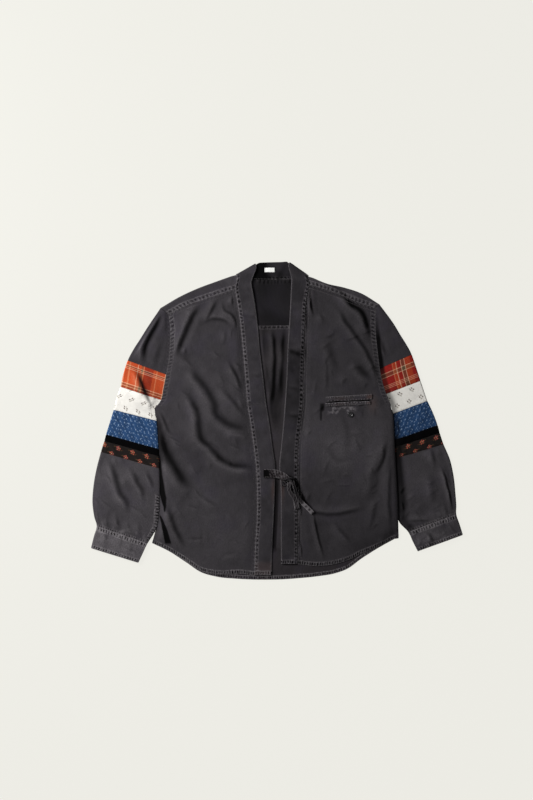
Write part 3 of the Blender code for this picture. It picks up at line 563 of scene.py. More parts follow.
class Cloth:
    """A piece of cloth as it is worked out: its faces as grids of points, and its wear, painted shade and
    warmth.

    The grids run from the edge "top" to "foot" by rows, and from "start" to "end" across each row.
    """

    def __init__(self, outer, inner, present=None):
        self.outer, self.inner, self.present = outer, inner, present
        across, down = self.lengths(outer, 1), self.lengths(outer, 0)
        whole = np.ones_like(across)
        self.uv = np.stack([across, -down[:, :1] * whole], axis=2)
        self.edges = {
            "start": Edge(across, down[:, :1] * whole),
            "end": Edge(across[:, -1:] - across, down[:, -1:] * whole),
            "top": Edge(down, across[:1] * whole),
            "foot": Edge(down[-1:] - down, across[-1:] * whole),
        }
        self.relief = np.zeros_like(across)
        # The shade is mostly painted shade: shadows, the lee of folds and hollows; some is the cloth's own
        # tone.
        self.wear, self.shade, self.warm = (np.zeros_like(across) for _ in range(3))
        self.seam = np.stack([0 * across, NO_SEAM + 0 * across, 0 * across], axis=2)

    @staticmethod
    def lengths(grid, axis):
        steps = np.linalg.norm(np.diff(grid, axis=axis), axis=2)
        return np.pad(np.cumsum(steps, axis), ((1, 0), (0, 0)) if axis == 0 else ((0, 0), (1, 0)))

    def ways_out(self):
        """The unit vectors out of the outer face."""
        out = np.cross(np.gradient(self.outer, axis=1), np.gradient(self.outer, axis=0))
        out /= np.maximum(np.linalg.norm(out, axis=2, keepdims=True), 1e-12)
        return out * np.sign(np.sum(out * (self.outer - self.inner)) + 1e-12)

    def thickness(self):
        return np.linalg.norm(self.outer - self.inner, axis=2)

    def lift(self, amount, inner=True):
        """Moves the cloth out of its outer face by an amount at each point, or its outer face alone."""
        out = self.ways_out() * amount[..., None]
        self.outer = self.outer + out
        if inner:
            self.inner = self.inner + out
        self.relief = self.relief + amount

    def grounded(self):
        """Keeps the outer face on or above the ground, and the inner one a layer over it."""
        for face, least in ((self.outer, 0.0), (self.inner, CLOTH)):
            face[..., 2] = np.maximum(face[..., 2], least)

    def even_down(self):
        """Spreads the cloth's length evenly between its top and its foot, in every column."""
        down = self.edges["top"].away
        self.uv[..., 1] = -down / down[-1:] * down[-1].mean()

    def age(self, crest=1.0, hollow_shade=1.0, seed=0, passes=30, full=0.0020):
        """Fades the crests of the relief, as washing does, and paints shade into its hollows."""
        proud = (self.relief - blurred(self.relief, passes)) / full
        x, y = self.uv[..., 0], self.uv[..., 1]
        patchy = 0.75 + 0.4 * wander(x, y, 0.021, seed + 21)
        self.wear += crest * np.clip(proud, 0, 1) * patchy
        self.shade += hollow_shade * np.clip(-proud, 0, 1)

    def upward(self):
        """1 where the outer face looks up, and 0 where it looks down."""
        return ease(self.ways_out()[..., 2] / 0.3)

    def clear_of(self, **reaches):
        """0 at the edges that are named, and 1 from a reach off each of them on."""
        part = 1.0
        for edge, reach in reaches.items():
            part = part * ease(self.edges[edge].away / reach)
        return part

    def rope(
        self, edge, reach=0.010, height=ROPE_HEIGHT, wear=0.55, seed=0,
        first=0.0, last=TO_THE_END, pitch=ROPE, rungs=1.0,
    ):
        """Puckers a seam: short ridges square to it, faded on top, that die out within reach of the edge."""
        away, run = self.edges[edge]
        beat = run / pitch + 0.45 * wander(run, 0 * run, 0.040, seed + 31) + 14 * away
        wave = np.sin(2 * pi * beat)
        within = past(run, first, 0.01) * until(run, last, 0.01)
        show = beside(away, 0.55 * reach, 0.45 * reach) * within
        show = show * (0.66 + 0.45 * wander(run, away, 0.027, seed + 32))
        self.lift(height * wave * show * self.upward(), inner=False)
        self.relief -= height * wave * show
        crests = 0.25 * np.clip(wave, 0, 1) ** 1.5 * show
        self.wear += wear * (crests + 0.30 * within * beside(away, 0.0022))
        # painted shade in the hollows between the puckers
        self.shade += 0.25 * np.clip(-0.1 - wave, 0, 1) * show
        marks = np.stack([beat, away / reach, rungs * wear / 0.55 * within], axis=2)
        nearer = (away / reach < np.minimum(self.seam[..., 1], 1.6)) & (rungs > 0)
        self.seam = np.where(nearer[..., None], marks, self.seam)

    def fell(self, edge, width, height=0.0005, wear=0.20):
        """Thickens the cloth beside an edge, where its allowance is turned under."""
        away = self.edges[edge].away
        step = beside(away, 0.0014, width)
        self.lift(height * step * self.upward(), inner=False)
        self.wear += wear * step * ease((away - width + 0.0022) / 0.0020)

    def hem(self, seed, height=0.0005, **pucker):
        """Turns the foot under, with the puckers of its stitching."""
        self.fell("foot", HEM_DEPTH, height)
        self.rope("foot", HEM_REACH, seed=seed, pitch=HEM_ROPE, **pucker)

    def round_off(self, edge, radius=0.0012, wear=0.5):
        """Rounds the outer face over an edge, which is worn pale."""
        away = self.edges[edge].away
        inside = np.clip(1 - away / radius, 0, 1)
        drop = np.minimum(radius * (1 - np.sqrt(1 - inside**2)), 0.45 * self.thickness())
        self.lift(-drop, inner=False)
        self.relief += drop
        self.wear += wear * np.clip(1 - away / (1.5 * radius), 0, 1)

    def line(self, edge, away, face="outer"):
        """The points of a face at a distance from an edge, in order along it."""
        grid = getattr(self, face)
        far = self.edges[edge].away
        if edge in ("top", "foot"):
            grid, far = grid.transpose(1, 0, 2), far.T
        line = []
        for points, row in zip(grid, far):
            order = np.argsort(row)
            line.append([np.interp(away, row[order], points[order, k]) for k in range(3)])
        return np.array(line)

    def sew(self, edge, away, first=0.0, last=TO_THE_END, face="outer", seed=0):
        """A row of stitches along an edge."""
        line, above = self.line(edge, away, face), self.line(edge, away + 0.0006, face)
        sew_along(line, above - line, first, last, seed)

    def build(self, name, material, node_names):
        """Makes the mesh: both faces, and a rim round every edge of them."""
        rows, columns = self.outer.shape[:2]
        number = np.arange(rows * columns).reshape(rows, columns)
        corners = [number[:-1, :-1], number[1:, :-1], number[1:, 1:], number[:-1, 1:]]
        cells = np.stack([c.ravel() for c in corners], axis=1)
        if self.present is not None:
            cells = cells[self.present.ravel()[cells].all(axis=1)]
        sides = np.concatenate([cells[:, [k, (k + 1) % 4]] for k in range(4)])
        keys = np.sort(sides, axis=1) @ [rows * columns, 1]
        _, place, count = np.unique(keys, return_index=True, return_counts=True)
        rim = sides[place[count == 1]]
        other = rows * columns
        faces = np.concatenate([
            cells,
            cells[:, ::-1] + other,
            np.stack([rim[:, 1], rim[:, 0], rim[:, 0] + other, rim[:, 1] + other], axis=1),
        ])
        points = np.concatenate([self.outer.reshape(-1, 3), self.inner.reshape(-1, 3)])
        used = np.unique(faces)
        renumber = np.zeros(len(points), int)
        renumber[used] = np.arange(len(used))
        faces, points = renumber[faces], points[used]
        corner = points[faces[0, 0]]
        out = np.cross(points[faces[0, 1]] - corner, points[faces[0, 3]] - corner)
        if np.dot(out, (self.outer - self.inner)[0, 0]) < 0:
            faces = faces[:, ::-1]
        mesh = bpy.data.meshes.new(name)
        mesh.from_pydata(points.tolist(), [], faces.tolist())
        mesh.validate()
        self.paint(mesh, used)
        mesh.shade_smooth()
        mesh.set_sharp_from_angle(angle=1.0)
        mesh.materials.append(material)
        piece = put(name, mesh)
        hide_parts(*node_names)
        return piece

    def paint(self, mesh, used):
        """Keeps the place on the flat cloth as UVs, and wear, painted shade and warmth as one colour."""
        uv = np.concatenate([self.uv.reshape(-1, 2)] * 2)[used]
        look = np.stack([self.wear, self.shade, self.warm, np.ones_like(self.wear)], axis=2).reshape(-1, 4)
        look = np.clip(np.concatenate([look, look])[used], 0, DEEPEST)
        corners = np.empty(len(mesh.loops), int)
        mesh.loops.foreach_get("vertex_index", corners)
        mesh.uv_layers.new(name="cloth").data.foreach_set("uv", uv[corners].ravel().astype("f"))
        seam = np.concatenate([self.seam, np.ones_like(self.wear)[..., None]], axis=2).reshape(-1, 4)
        for name, values in (("wear_painted_shade_rust", look), ("seam", np.concatenate([seam, seam])[used])):
            layer = mesh.color_attributes.new(name, "FLOAT_COLOR", "POINT")
            layer.data.foreach_set("color", values.ravel().astype("f"))


def put(name, mesh):
    """Adds a mesh to the scene as a piece of the jacket."""
    piece = bpy.data.objects.new(name, mesh)
    bpy.context.scene.collection.objects.link(piece)
    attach(piece, "root")
    return piece


def sew_along(line, across, first, last, seed):
    """Stitches along a line of points, where the second line points across it on the surface."""
    run = running(line)
    last = min(last, run[-1])
    rng = np.random.default_rng(seed + 41)
    for at in np.arange(first + STITCH_PITCH / 2, last, STITCH_PITCH):
        at += rng.uniform(-0.1, 0.1) * STITCH_PITCH
        middle, ahead, behind = (
            np.array([np.interp(at + step, run, line[:, k]) for k in range(3)])
            for step in (0, STITCH_PITCH / 4, -STITCH_PITCH / 4)
        )
        way = ahead - behind
        aside = np.array([np.interp(at, run, across[:, k]) for k in range(3)])
        up = np.cross(way, aside)
        up /= np.linalg.norm(up) + 1e-12
        clear_of_ground = middle[2] + up[2] * STITCH[2] >= 0
        if clear_of_ground:
            THREADS.append((middle, way / (np.linalg.norm(way) + 1e-12), up))


def stitch_mesh():
    """Every stitch as a low bar that tapers to both ends."""
    length, width, height = STITCH
    points, faces = [], []
    ring = [(-1, 0), (-0.6, 0.8), (0.6, 0.8), (1, 0)]
    for middle, way, up in THREADS:
        aside = np.cross(way, up)
        base = len(points)
        points.append(middle - way * length / 2)
        for along_way in (-0.3, 0.3):
            place = middle + way * length * along_way
            for across, high in ring:
                points.append(place + aside * width / 2 * across + up * height * high)
        points.append(middle + way * length / 2)
        tip = base + 9
        for k in range(4):
            near, far = base + 1 + k, base + 1 + (k + 1) % 4
            faces += [(base, far, near), (near, far, far + 4, near + 4), (near + 4, far + 4, tip)]
    mesh = bpy.data.meshes.new("stitching")
    mesh.from_pydata([tuple(p) for p in points], [], faces)
    return mesh


# The seams that pieces share


def sleeve_of(side):
    return LEFT_SLEEVE if side < 0 else RIGHT_SLEEVE


def shoulder_of(side):
    return LEFT_SHOULDER if side < 0 else RIGHT_SHOULDER


def joined(upper, lower, at):
    """Points by station on two smooth curves, where the second starts at the last point of the first."""
    last = len(upper) - 1
    first_curve = curve(np.arange(last + 1), upper, np.minimum(at, last))
    second_curve = curve(np.arange(len(lower)), lower, np.maximum(at - last, 0))
    return np.where((at <= last)[:, None], first_curve, second_curve)


def side_line(side, at):
    """Down one side of the body: the armhole, then the side seam."""
    armhole = [(row.inner_x, row.inner_y) for row in sleeve_of(side)[: UNDERARM + 1]]
    if side < 0:
        below = [(row.left_x, row.left_y) for row in BODY_SIDES]
    else:
        below = [(row.right_x, row.right_y) for row in BODY_SIDES]
    return joined(armhole, armhole[-1:] + below, at)


def sleeve_inside(side, at):
    """Down the inner end of a sleeve: the armhole, then the underarm seam."""
    points = [(row.inner_x, row.inner_y) for row in sleeve_of(side)]
    return joined(points[: UNDERARM + 1], points[UNDERARM:], at)


def sleeve_outside(side, at):
    points = [(row.outer_x, row.outer_y) for row in sleeve_of(side)]
    return curve(np.arange(len(points)), points, at)


def band_x(side, edge, y):
    """Where the neck band's seam or free edge is at a height on the body."""
    return column_of(NECK_BAND, ("left_" if side < 0 else "right_") + edge, "y", y)


def front_foot_y(side):
    """Where the neck band's seam meets the hem."""
    return float(column_of(HEMS, "front_y", "x", band_x(side, "seam", -0.350)))


def yoke_seam_y(part):
    """The back yoke seam bows up a little between the armholes."""
    return mix(LEFT_SLEEVE[1].inner_y, RIGHT_SLEEVE[1].inner_y, part) + 0.004 * np.sin(pi * part)


# Body pieces


def lowered(grid, thickness):
    """The other face of a layer that lies level."""
    return grid - np.array([0, 0, thickness])


def lined(grid, thickness):
    """The other face of a layer whose outer face looks up, a thickness below it and square to it."""
    out = np.cross(np.gradient(grid, axis=1), np.gradient(grid, axis=0))
    out /= np.linalg.norm(out, axis=2, keepdims=True)
    return grid - out * np.sign(out[..., 2].sum()) * thickness


BACK_COLUMNS, BACK_ROWS = 250, 110
BACK_SEAM_HALF = 0.06  # how far its stitches run to both sides along the yoke seam, in the opening


def make_back(materials):
    """The back panel, flat on the surface. What shows of it is its inside in the opening, and its hem."""
    across, part = graded(BACK_COLUMNS, 0.1)[None, :], graded(BACK_ROWS, 0.6)[:, None]
    stations = mix(1, UNDERARM + len(BODY_SIDES), part[:, 0])
    left, right = side_line(-1, stations), side_line(1, stations)
    x = mix(left[:, :1], right[:, :1], across)
    y = mix(left[:, 1:], right[:, 1:], across)
    y = y + (yoke_seam_y(across) - mix(left[0, 1], right[0, 1], across)) * (1 - part) ** 3
    y = y + part**3 * (column_of(HEMS, "back_y", "x", x) - mix(left[-1, 1], right[-1, 1], across))
    outer = np.stack([x, y, np.full_like(x, CLOTH)], axis=2)
    back = Cloth(outer, lowered(outer, CLOTH))
    open_left, open_right = band_x(-1, "edge", y) + 0.001, band_x(1, "edge", y) - 0.001
    in_opening = past(x, open_left, 0.010) * until(x, open_right, 0.010) * past(y, -0.05, 0.05)
    gathers = 0.0005 * wander(x * 5, y * 0.8, 0.030, 91)
    lift, lee_shade, crest = folded(BACK_FOLDS, x, y, 5)
    back.lift((lift + np.maximum(crumple(x, y, 90) * 0.5 + gathers, 0.0)) * in_opening)
    # painted shade at the feet of the folds in the opening
    back.shade += 1.3 * lee_shade * in_opening
    # paler ridges: partly wear and partly painted highlight
    back.wear += 0.12 * crest * in_opening
    hem_strip = until(y, -0.300, 0.03) * back.clear_of(foot=0.012)
    back.lift(np.maximum(crumple(x, y, 95), 0) * 0.5 * hem_strip)
    back.age(crest=0.25, hollow_shade=0.9, seed=90)
    back.wear += 0.05 * (y > -0.300)
    # a painted shadow beside the left band's free edge
    band_shadow = 1 - ease((x - band_x(-1, "edge", y) - 0.007) / 0.004)
    back.shade += 1.1 * band_shadow * until(y, -0.120, 0.03) * past(y, -0.315, 0.02)
    back.hem(92, rungs=1.5)
    back.rope("top", 0.0085, height=0.0004, wear=0.5, seed=93, rungs=0.75)
    # uneven painted shade over the inside seen in the opening
    back.shade += 0.66 * in_opening * (0.75 + 0.6 * wander(x, y, 0.035, 94))
    for seed, away in enumerate(HEM_ROWS, 1):
        back.sew("foot", away, seed=seed)
    middle = back.edges["top"].run[0, -1] / 2
    for away in (0.002, 0.008):
        back.sew("top", away, middle - BACK_SEAM_HALF, middle + BACK_SEAM_HALF, seed=3)
    back.build("back_cloth", materials["inside"], ["back_panel"])


YOKE_TUCK = 0.0032  # how far the yoke runs in under the neck band
YOKE_SEAM = 0.172  # the length of each front yoke seam
YOKE_BACK_ROWS, YOKE_FOLD_ROWS, YOKE_TOP_ROWS = 16, 9, 16
YOKE_RIDGE = YOKE_BACK_ROWS + YOKE_FOLD_ROWS / 2  # the row along the top of its fold
YOKE_COLUMNS, YOKE_NECK_COLUMNS = 88, 64


def yoke_columns(side, part):
    """The yoke over one shoulder, in columns from its back seam, round the fold, to the front seam."""
    seam_x, seam_y, fold_x, fold_y = along(shoulder_of(side), Shoulder._fields, part)
    tuck = -side * YOKE_TUCK * ease((part - 0.94) / 0.06)
    seam_x, fold_x = seam_x + tuck, fold_x + tuck
    left, right = LEFT_SLEEVE[1].inner_x, RIGHT_SLEEVE[1].inner_x
    back_x = mix(sleeve_of(side)[1].inner_x, shoulder_of(side)[-1].seam_x, part)
    back_y = yoke_seam_y((back_x - left) / (right - left))
    radius = SHOULDER_TOP / 2
    turn_y = fold_y - radius
    turn_x = mix(seam_x, fold_x, (turn_y - seam_y) / (fold_y - seam_y))
    outer, inner = [], []
    for step in np.linspace(0, 2, YOKE_BACK_ROWS):
        low = [(back_x, back_y), (seam_x, seam_y), (turn_x, turn_y)][int(min(step, 1.0)) :]
        x, y = (mix(a, b, step - int(min(step, 1.0))) for a, b in zip(low[0], low[1]))
        outer.append(np.stack([x, y, 0 * x], axis=1))
        inner.append(np.stack([x, y, 0 * x + CLOTH], axis=1))
    for angle in np.linspace(0, pi, YOKE_FOLD_ROWS + 2)[1:-1]:
        for skin, r in ((outer, radius), (inner, radius - CLOTH)):
            reach = np.sin(angle) * r
            x, y = mix(turn_x, fold_x, reach / radius), turn_y + reach
            skin.append(np.stack([x, y, 0 * x + radius - np.cos(angle) * r], axis=1))
    for step in graded(YOKE_TOP_ROWS - 1, 0.3):
        x, y = mix(turn_x, seam_x, step), mix(turn_y, seam_y, step)
        outer.append(np.stack([x, y, 0 * x + SHOULDER_TOP], axis=1))
        inner.append(np.stack([x, y, 0 * x + SHOULDER_TOP - CLOTH], axis=1))
    return np.array(outer), np.array(inner)


def make_yoke(materials):
    """One piece, flat on the back and folded over both shoulders to the front yoke seams."""
    part = graded(YOKE_COLUMNS, 0.2)
    left, right = yoke_columns(-1, part), yoke_columns(1, part[::-1])
    seam_x, seam_y = along(BACK_NECK, ("seam_x", "seam_y"), np.linspace(0, 1, YOKE_NECK_COLUMNS))
    ends = LEFT_SLEEVE[1].inner_x, RIGHT_SLEEVE[1].inner_x
    low = yoke_seam_y((seam_x - ends[0]) / (ends[1] - ends[0]))
    rows = left[0].shape[0]
    climb = np.minimum(np.arange(rows) / (YOKE_BACK_ROWS - 1), 1)[:, None]
    neck = np.stack([seam_x + 0 * climb, mix(low, seam_y, climb), 0 * seam_x + 0 * climb], axis=2)
    outer = np.concatenate([left[0], neck, right[0]], axis=1)
    inner = np.concatenate([left[1], lowered(neck, -CLOTH), right[1]], axis=1)
    present = np.ones(outer.shape[:2], bool)
    present[YOKE_BACK_ROWS:, YOKE_COLUMNS + 1 : YOKE_COLUMNS + 1 + YOKE_NECK_COLUMNS] = False
    yoke = Cloth(outer, inner, present)
    x, y = outer[..., 0], outer[..., 1]
    row = np.arange(rows)[:, None] + 0 * x
    on_top = past(row, YOKE_RIDGE, 6) * yoke.clear_of(foot=0.008)
    yoke.lift(crumple(x, y, 60) * 1.3 * on_top)
    # painted shade at the feet of the folds on top
    yoke.shade += 1.1 * folded(YOKE_FOLDS, x, y, 62)[1] * (row > YOKE_RIDGE)
    yoke.age(crest=0.5, hollow_shade=0.6, seed=60)
    yoke.rope("foot", 0.011, seed=61, wear=0.50)
    yoke.fell("foot", 0.0100, 0.0004)
    yoke.wear += 0.12 * bell(row, YOKE_RIDGE, 4)
    # uneven painted shade on the inside of the back yoke, which lies deep in the opening
    inside = row < YOKE_BACK_ROWS
    yoke.shade += (0.94 + 0.14 * wander(x, y, 0.034, 64)) * inside
    yoke.seam[..., 2] *= np.where(inside, 0.25, 1.0)
    length = yoke.edges["foot"].run[0, -1]
    sides = (0, YOKE_SEAM), (length - YOKE_SEAM, length)
    for first, last in sides:
        for seed, away in enumerate(YOKE_ROWS, 4):
            yoke.sew("foot", away, first, last, seed=seed)
    yoke.build("yoke_cloth", materials["denim"], ["yoke"])


FRONT_COLUMNS = 120
FRONT_SPACING = 0.0018  # between its rows


def front_grid(side):
    """A front panel from its side to the neck band, as x and y with the parts across and down."""
    stations = even_stations(lambda at: side_line(side, at), 0, UNDERARM + len(BODY_SIDES), FRONT_SPACING)
    edge = side_line(side, stations)
    down = ((edge[0, 1] - edge[:, 1]) / (edge[0, 1] - edge[-1, 1]))[:, None]
    across = graded(FRONT_COLUMNS)[None, :]
    shoulder = shoulder_of(side)
    seam_y = mix(shoulder[-1].seam_y, front_foot_y(side), down)
    seam_x = band_x(side, "seam", seam_y)
    x, y = mix(edge[:, :1], seam_x, across), mix(edge[:, 1:], seam_y, across)
    (top_line,) = along(shoulder, ("seam_y",), across)
    y = y + (top_line - mix(shoulder[0].seam_y, shoulder[-1].seam_y, across)) * (1 - down) ** 3
    hem_line = column_of(HEMS, "front_y", "x", x[-1])[None, :]
    y = y + (hem_line - mix(edge[-1, 1], seam_y[-1], across)) * down**4
    return x, y, across + 0 * down, down + 0 * across


# Where the left side lies in the dark beside its sleeve, and in its fold above the hem's corner: how far down
# the body, and from where to where across it.
# Both are shadows painted on the cloth.
SIDE_SHADOW = (
    (0.078, -0.2790, -0.2745),
    (0.105, -0.2790, -0.2690),
    (0.142, -0.2780, -0.2640),
    (0.162, -0.2750, -0.2600),
    (0.183, -0.2703, -0.2568),
    (0.203, -0.2645, -0.2576),
    (0.218, -0.2625, -0.2600),
)
CORNER_SHADOW = (
    (0.218, -0.2755, -0.2740),
    (0.234, -0.2713, -0.2645),
    (0.254, -0.2665, -0.2558),
    (0.274, -0.2625, -0.2500),
    (0.292, -0.2600, -0.2455),
)


def between(table, x, y, soft):
    """1 between the two edges of a strip that runs down the body, and 0 beyond them."""
    down, low, high = (np.array(row) for row in zip(*table))
    waver = 0.0007 * wander(x, y, 0.012, 107)
    low, high = np.interp(-y, down, low) + waver, np.interp(-y, down, high) + waver
    ends = past(-y, down[0], 0.010) * ease((down[-1] + y) / 0.006)
    return ease((x - low + 0.0012) / 0.0026) * ease((high - x + soft / 2) / soft) * ends


def front_surface(side, x, y, across, down):
    """The outer face of a front panel before its folds: low along its seams, and loose between them."""
    armhole = 1 - until(y, 0.085, 0.055)
    yoke = 1 - ease(down / 0.10)
    edge = mix(PRESSED, SHOULDER_TOP, np.maximum(armhole * beside(across, 0.12), yoke))
    loft = FRONT_LOFT * ease(across / 0.12) * until(across, 1, 0.10) * until(down, 1, 0.06)
    outer = np.stack([x, y, edge + loft * (1 - yoke)], axis=2)
    if side > 0:
        # Below the armhole the right side lies uppermost, over the sleeve.
        from_side = x[:, :1] - x
        below = beside(y, 0.030, 0.010)
        roll = np.clip(from_side / ROLL, 0, 1)
        outer[..., 0] += OVERHANG * np.sin(pi * roll) * below
        rise = ease(roll) * beside(from_side, 0.060, 0.010) * past(y, y[-1:], 0.03)
        outer[..., 2] += BODY_SIDE_RISE * rise * below
    return outer


def shade_left_front(front, x, y):
    """The sleeve stands over the left side below the armhole, and its shadow is painted there."""
    sleeve_shadow_strips = np.maximum(between(SIDE_SHADOW, x, y, 0.0050), between(CORNER_SHADOW, x, y, 0.0020))
    front.shade += DEEPEST * sleeve_shadow_strips
    # painted shade beside the side, above the strips
    above = until(y, 0.020, 0.030) * past(y, -0.110, 0.020)
    front.shade += 0.80 * above * beside(front.edges["start"].away, 0.022, 0.006)


def shade_right_front(front, x, y):
    """Painted shade towards both ends and beside the band, the rolled side and the tie."""
    away = {key: value.away for key, value in front.edges.items()}
    # painted shade, deeper towards the top and the foot
    front.shade += 0.38 * (1 - bell(y, -0.04, 0.13))
    patchy = np.clip(0.5 + 1.3 * wander(x, y, 0.030, 206), 0, 1)
    groove_shade = bell(away["end"], 0.0035, 0.0022) * patchy
    front.shade += 0.75 * groove_shade * until(y, 0.300, 0.05)
    # painted shade along the side, which rolls away over the sleeve
    front.shade += 0.9 * beside(away["start"], 0.009) * until(y, -0.050, 0.03) * past(y, -0.235, 0.03)
    front.shade += 1.2 * folded(TIE_SHADOW, x, y)[1]


def make_front(side, name, folds, materials):
    """A front panel with its folds, the wear along its seams, and its stitches."""
    x, y, across, down = front_grid(side)
    outer = front_surface(side, x, y, across, down)
    front = Cloth(outer, lined(outer, CLOTH))
    calm = front.clear_of(start=0.020, end=0.012, foot=0.012, top=0.008)
    seed = 100 if side < 0 else 200
    low, high = ((-0.265, -0.32), (-0.06, 0.27)) if side < 0 else ((0.06, -0.30), (0.26, 0.29))
    small = creases(46, seed + 20, low, high, -side * 0.5)
    lift, lee_shade, crest = folded(folds + tuple(small), x, y, seed)
    front.lift((lift + crumple(x, y, seed)) * calm)
    # painted shade at the feet of the folds
    front.shade += 0.78 * lee_shade * calm
    # paler ridges: partly wear and partly painted highlight
    front.wear += 0.15 * crest * calm
    front.age(crest=0.20, hollow_shade=0.55, seed=seed)
    front.wear += 0.06 + 0.05 * wander(x, y, 0.11, seed + 5)
    # the left front paler below: partly wear and partly painted light from the left
    front.wear += 0.03 * (side < 0) * until(y, -0.130, 0.060)
    front.shade += 0.10 + 0.10 * wander(x, y, 0.085, seed + 15)
    if side < 0:
        shade_left_front(front, x, y)
    underarm_y = sleeve_of(side)[UNDERARM].inner_y
    armhole_end = float(np.interp(-underarm_y, -y[:, 0], front.edges["start"].run[:, 0]))
    front.fell("top", 0.0095, 0.0003, 0.0)
    front.rope("top", 0.0060, height=0.0004, seed=seed + 6, wear=0.20, rungs=0.0)
    front.rope("start", 0.0125, seed=seed + 7, last=armhole_end, wear=0.50, pitch=0.0085)
    beside_armhole = (front.seam[..., 1] < NO_SEAM) & (front.edges["start"].away < 0.020)
    front.seam[..., 2] *= np.where(beside_armhole, mix(0.40, 0.95, past(y, 0.150, 0.070)), 1.0)
    front.rope("end", 0.0050, height=0.0003, seed=seed + 8, wear=0.70, rungs=0.0)
    front.hem(seed + 9, wear=0.50, rungs=1.7)
    front.round_off("foot", 0.0008, 0.25)
    for away in PANEL_ROWS:
        front.sew("top", away, seed=seed)
        front.sew("end", away, 0.006, seed=seed + 1)
    for away in ARMHOLE_ROWS:
        front.sew("start", away, 0.004, armhole_end, seed=seed + 2)
    for away in HEM_ROWS:
        front.sew("foot", away, 0.010, seed=seed + 3)
    if side > 0:
        shade_right_front(front, x, y)
        pocket_marks(front, x, y)
    node = name.replace("_cloth", "")
    return front.build(name, materials["denim"], [node])


# The neck band


def band_rows(side, top_y, foot_y, count):
    """Rows across the band down one front, each as its seam end and its free end."""
    seam_y = np.linspace(top_y, foot_y, count)
    top, foot = shoulder_of(side)[-1].seam_y, front_foot_y(side)
    free_y = seam_y + 0.012 * ((seam_y - foot) / (top - foot)) ** 2
    height = mix(BAND_TOP, NECK_FOLD_TOP, past(seam_y, 0.200, 0.110))
    seam = np.stack([band_x(side, "seam", seam_y), seam_y, height], axis=1)
    free = np.stack([band_x(side, "edge", free_y), free_y, height], axis=1)
    return np.stack([seam, free], axis=1)


NECK_FOLD_ROWS = 7  # of the band's turn, as it is drawn
NECK_TURN_ROWS = 15  # of the same, as it is modelled
BAND_ROW = 0.0020  # the stitches beside the band's seam
LEFT_SEAM = 0.268  # how far those run up its seam to the left front
NECK_SEAM_FROM = 0.31  # how far along the band its seam behind the neck starts


def neck_fold_rows(fold, outward):
    """The band's turn round one side of the neck, from the front layer under to the back one."""
    radius = NECK_FOLD_TOP / 2
    seam, free = np.array(fold[0]), np.array(fold[1])
    along_fold = (free - seam) / np.linalg.norm(free - seam)
    normal = np.array([-along_fold[1], along_fold[0]]) * outward
    outer, inner = [], []
    for angle in np.linspace(0, pi, NECK_FOLD_ROWS):
        for skin, r in ((outer, radius), (inner, radius - DOUBLED)):
            shift = normal * (np.sin(angle) * r - radius)
            skin.append([(*(end + shift), radius + np.cos(angle) * r) for end in (seam, free)])
    return np.array(outer), np.array(inner)


def spread(rows, count=18):
    """Rows of two ends, filled with points across."""
    across = graded(count, 0.65)[None, :, None]
    return mix(rows[:, :1], rows[:, 1:], across)


def finish_band(band, x, y, seed):
    """What both strips of the band have: folds, a roped seam, rounded edges, stitches and rust by the tie."""
    calm = band.clear_of(start=0.008, end=0.006)
    lift, lee_shade, _ = folded(BAND_FOLDS, x, y, seed)
    amount = (lift + crumple(x, y, seed) * 0.8 + 0.0006 * wander(x * 0.6, y, 0.045, seed + 5)) * calm
    up = band.upward()
    # Behind the neck the outer face lies on the ground, and the cloth can only rise off it.
    band.lift(amount * up - 0.6 * np.abs(amount) * (1 - up))
    # painted shade at the folds' feet, and the ties' painted shadow
    band.shade += 1.3 * lee_shade * calm * up + 1.2 * folded(TIE_SHADOW, x, y)[1]
    band.shade += (0.16 * wander(x, y, 0.024, seed + 8) + 0.12 * wander(x, y, 0.010, seed + 9)) * calm
    band.age(crest=0.35, hollow_shade=0.55, seed=seed)
    band.rope("start", 0.0082, seed=seed + 6, wear=0.62)
    band.round_off("end", 0.0012, 0.85)
    band.round_off("start", 0.0006, 0.15)
    band.grounded()
    band.sew("end", 0.0022, seed=seed)
    band.warm += 0.42 * bell(y, -0.162, 0.026) * beside(band.edges["end"].away, 0.008, 0.004)


def make_band_foot(materials):
    """The short strip at the foot of the left front, below the cross seam."""
    rows = band_rows(-1, BAND_JOIN_Y - 0.0002, front_foot_y(-1), 60)
    places = running(rows.mean(axis=1))
    outer = spread(curve(places, rows, np.arange(0, places[-1], SPACING)))
    foot = Cloth(outer, lowered(outer, DOUBLED))
    x, y = outer[..., 0], outer[..., 1]
    finish_band(foot, x, y, 300)
    foot.rope("top", 0.004, height=0.0003, wear=0.15, seed=310, rungs=0.0)
    foot.shade += 0.35 * beside(foot.edges["top"].away, 0.0020)
    foot.hem(311, 0.0004, rungs=1.5)
    near_hem = until(y, -0.326, 0.014)
    foot.warm += 0.28 * near_hem
    foot.wear += 0.05 * near_hem
    foot.shade += 0.12
    for away in HEM_ROWS:
        foot.sew("foot", away, seed=6)
    foot.sew("start", BAND_ROW, seed=7)
    node = "neck_band_foot"
    return foot.build(f"{node}_cloth", materials["denim"], [node])


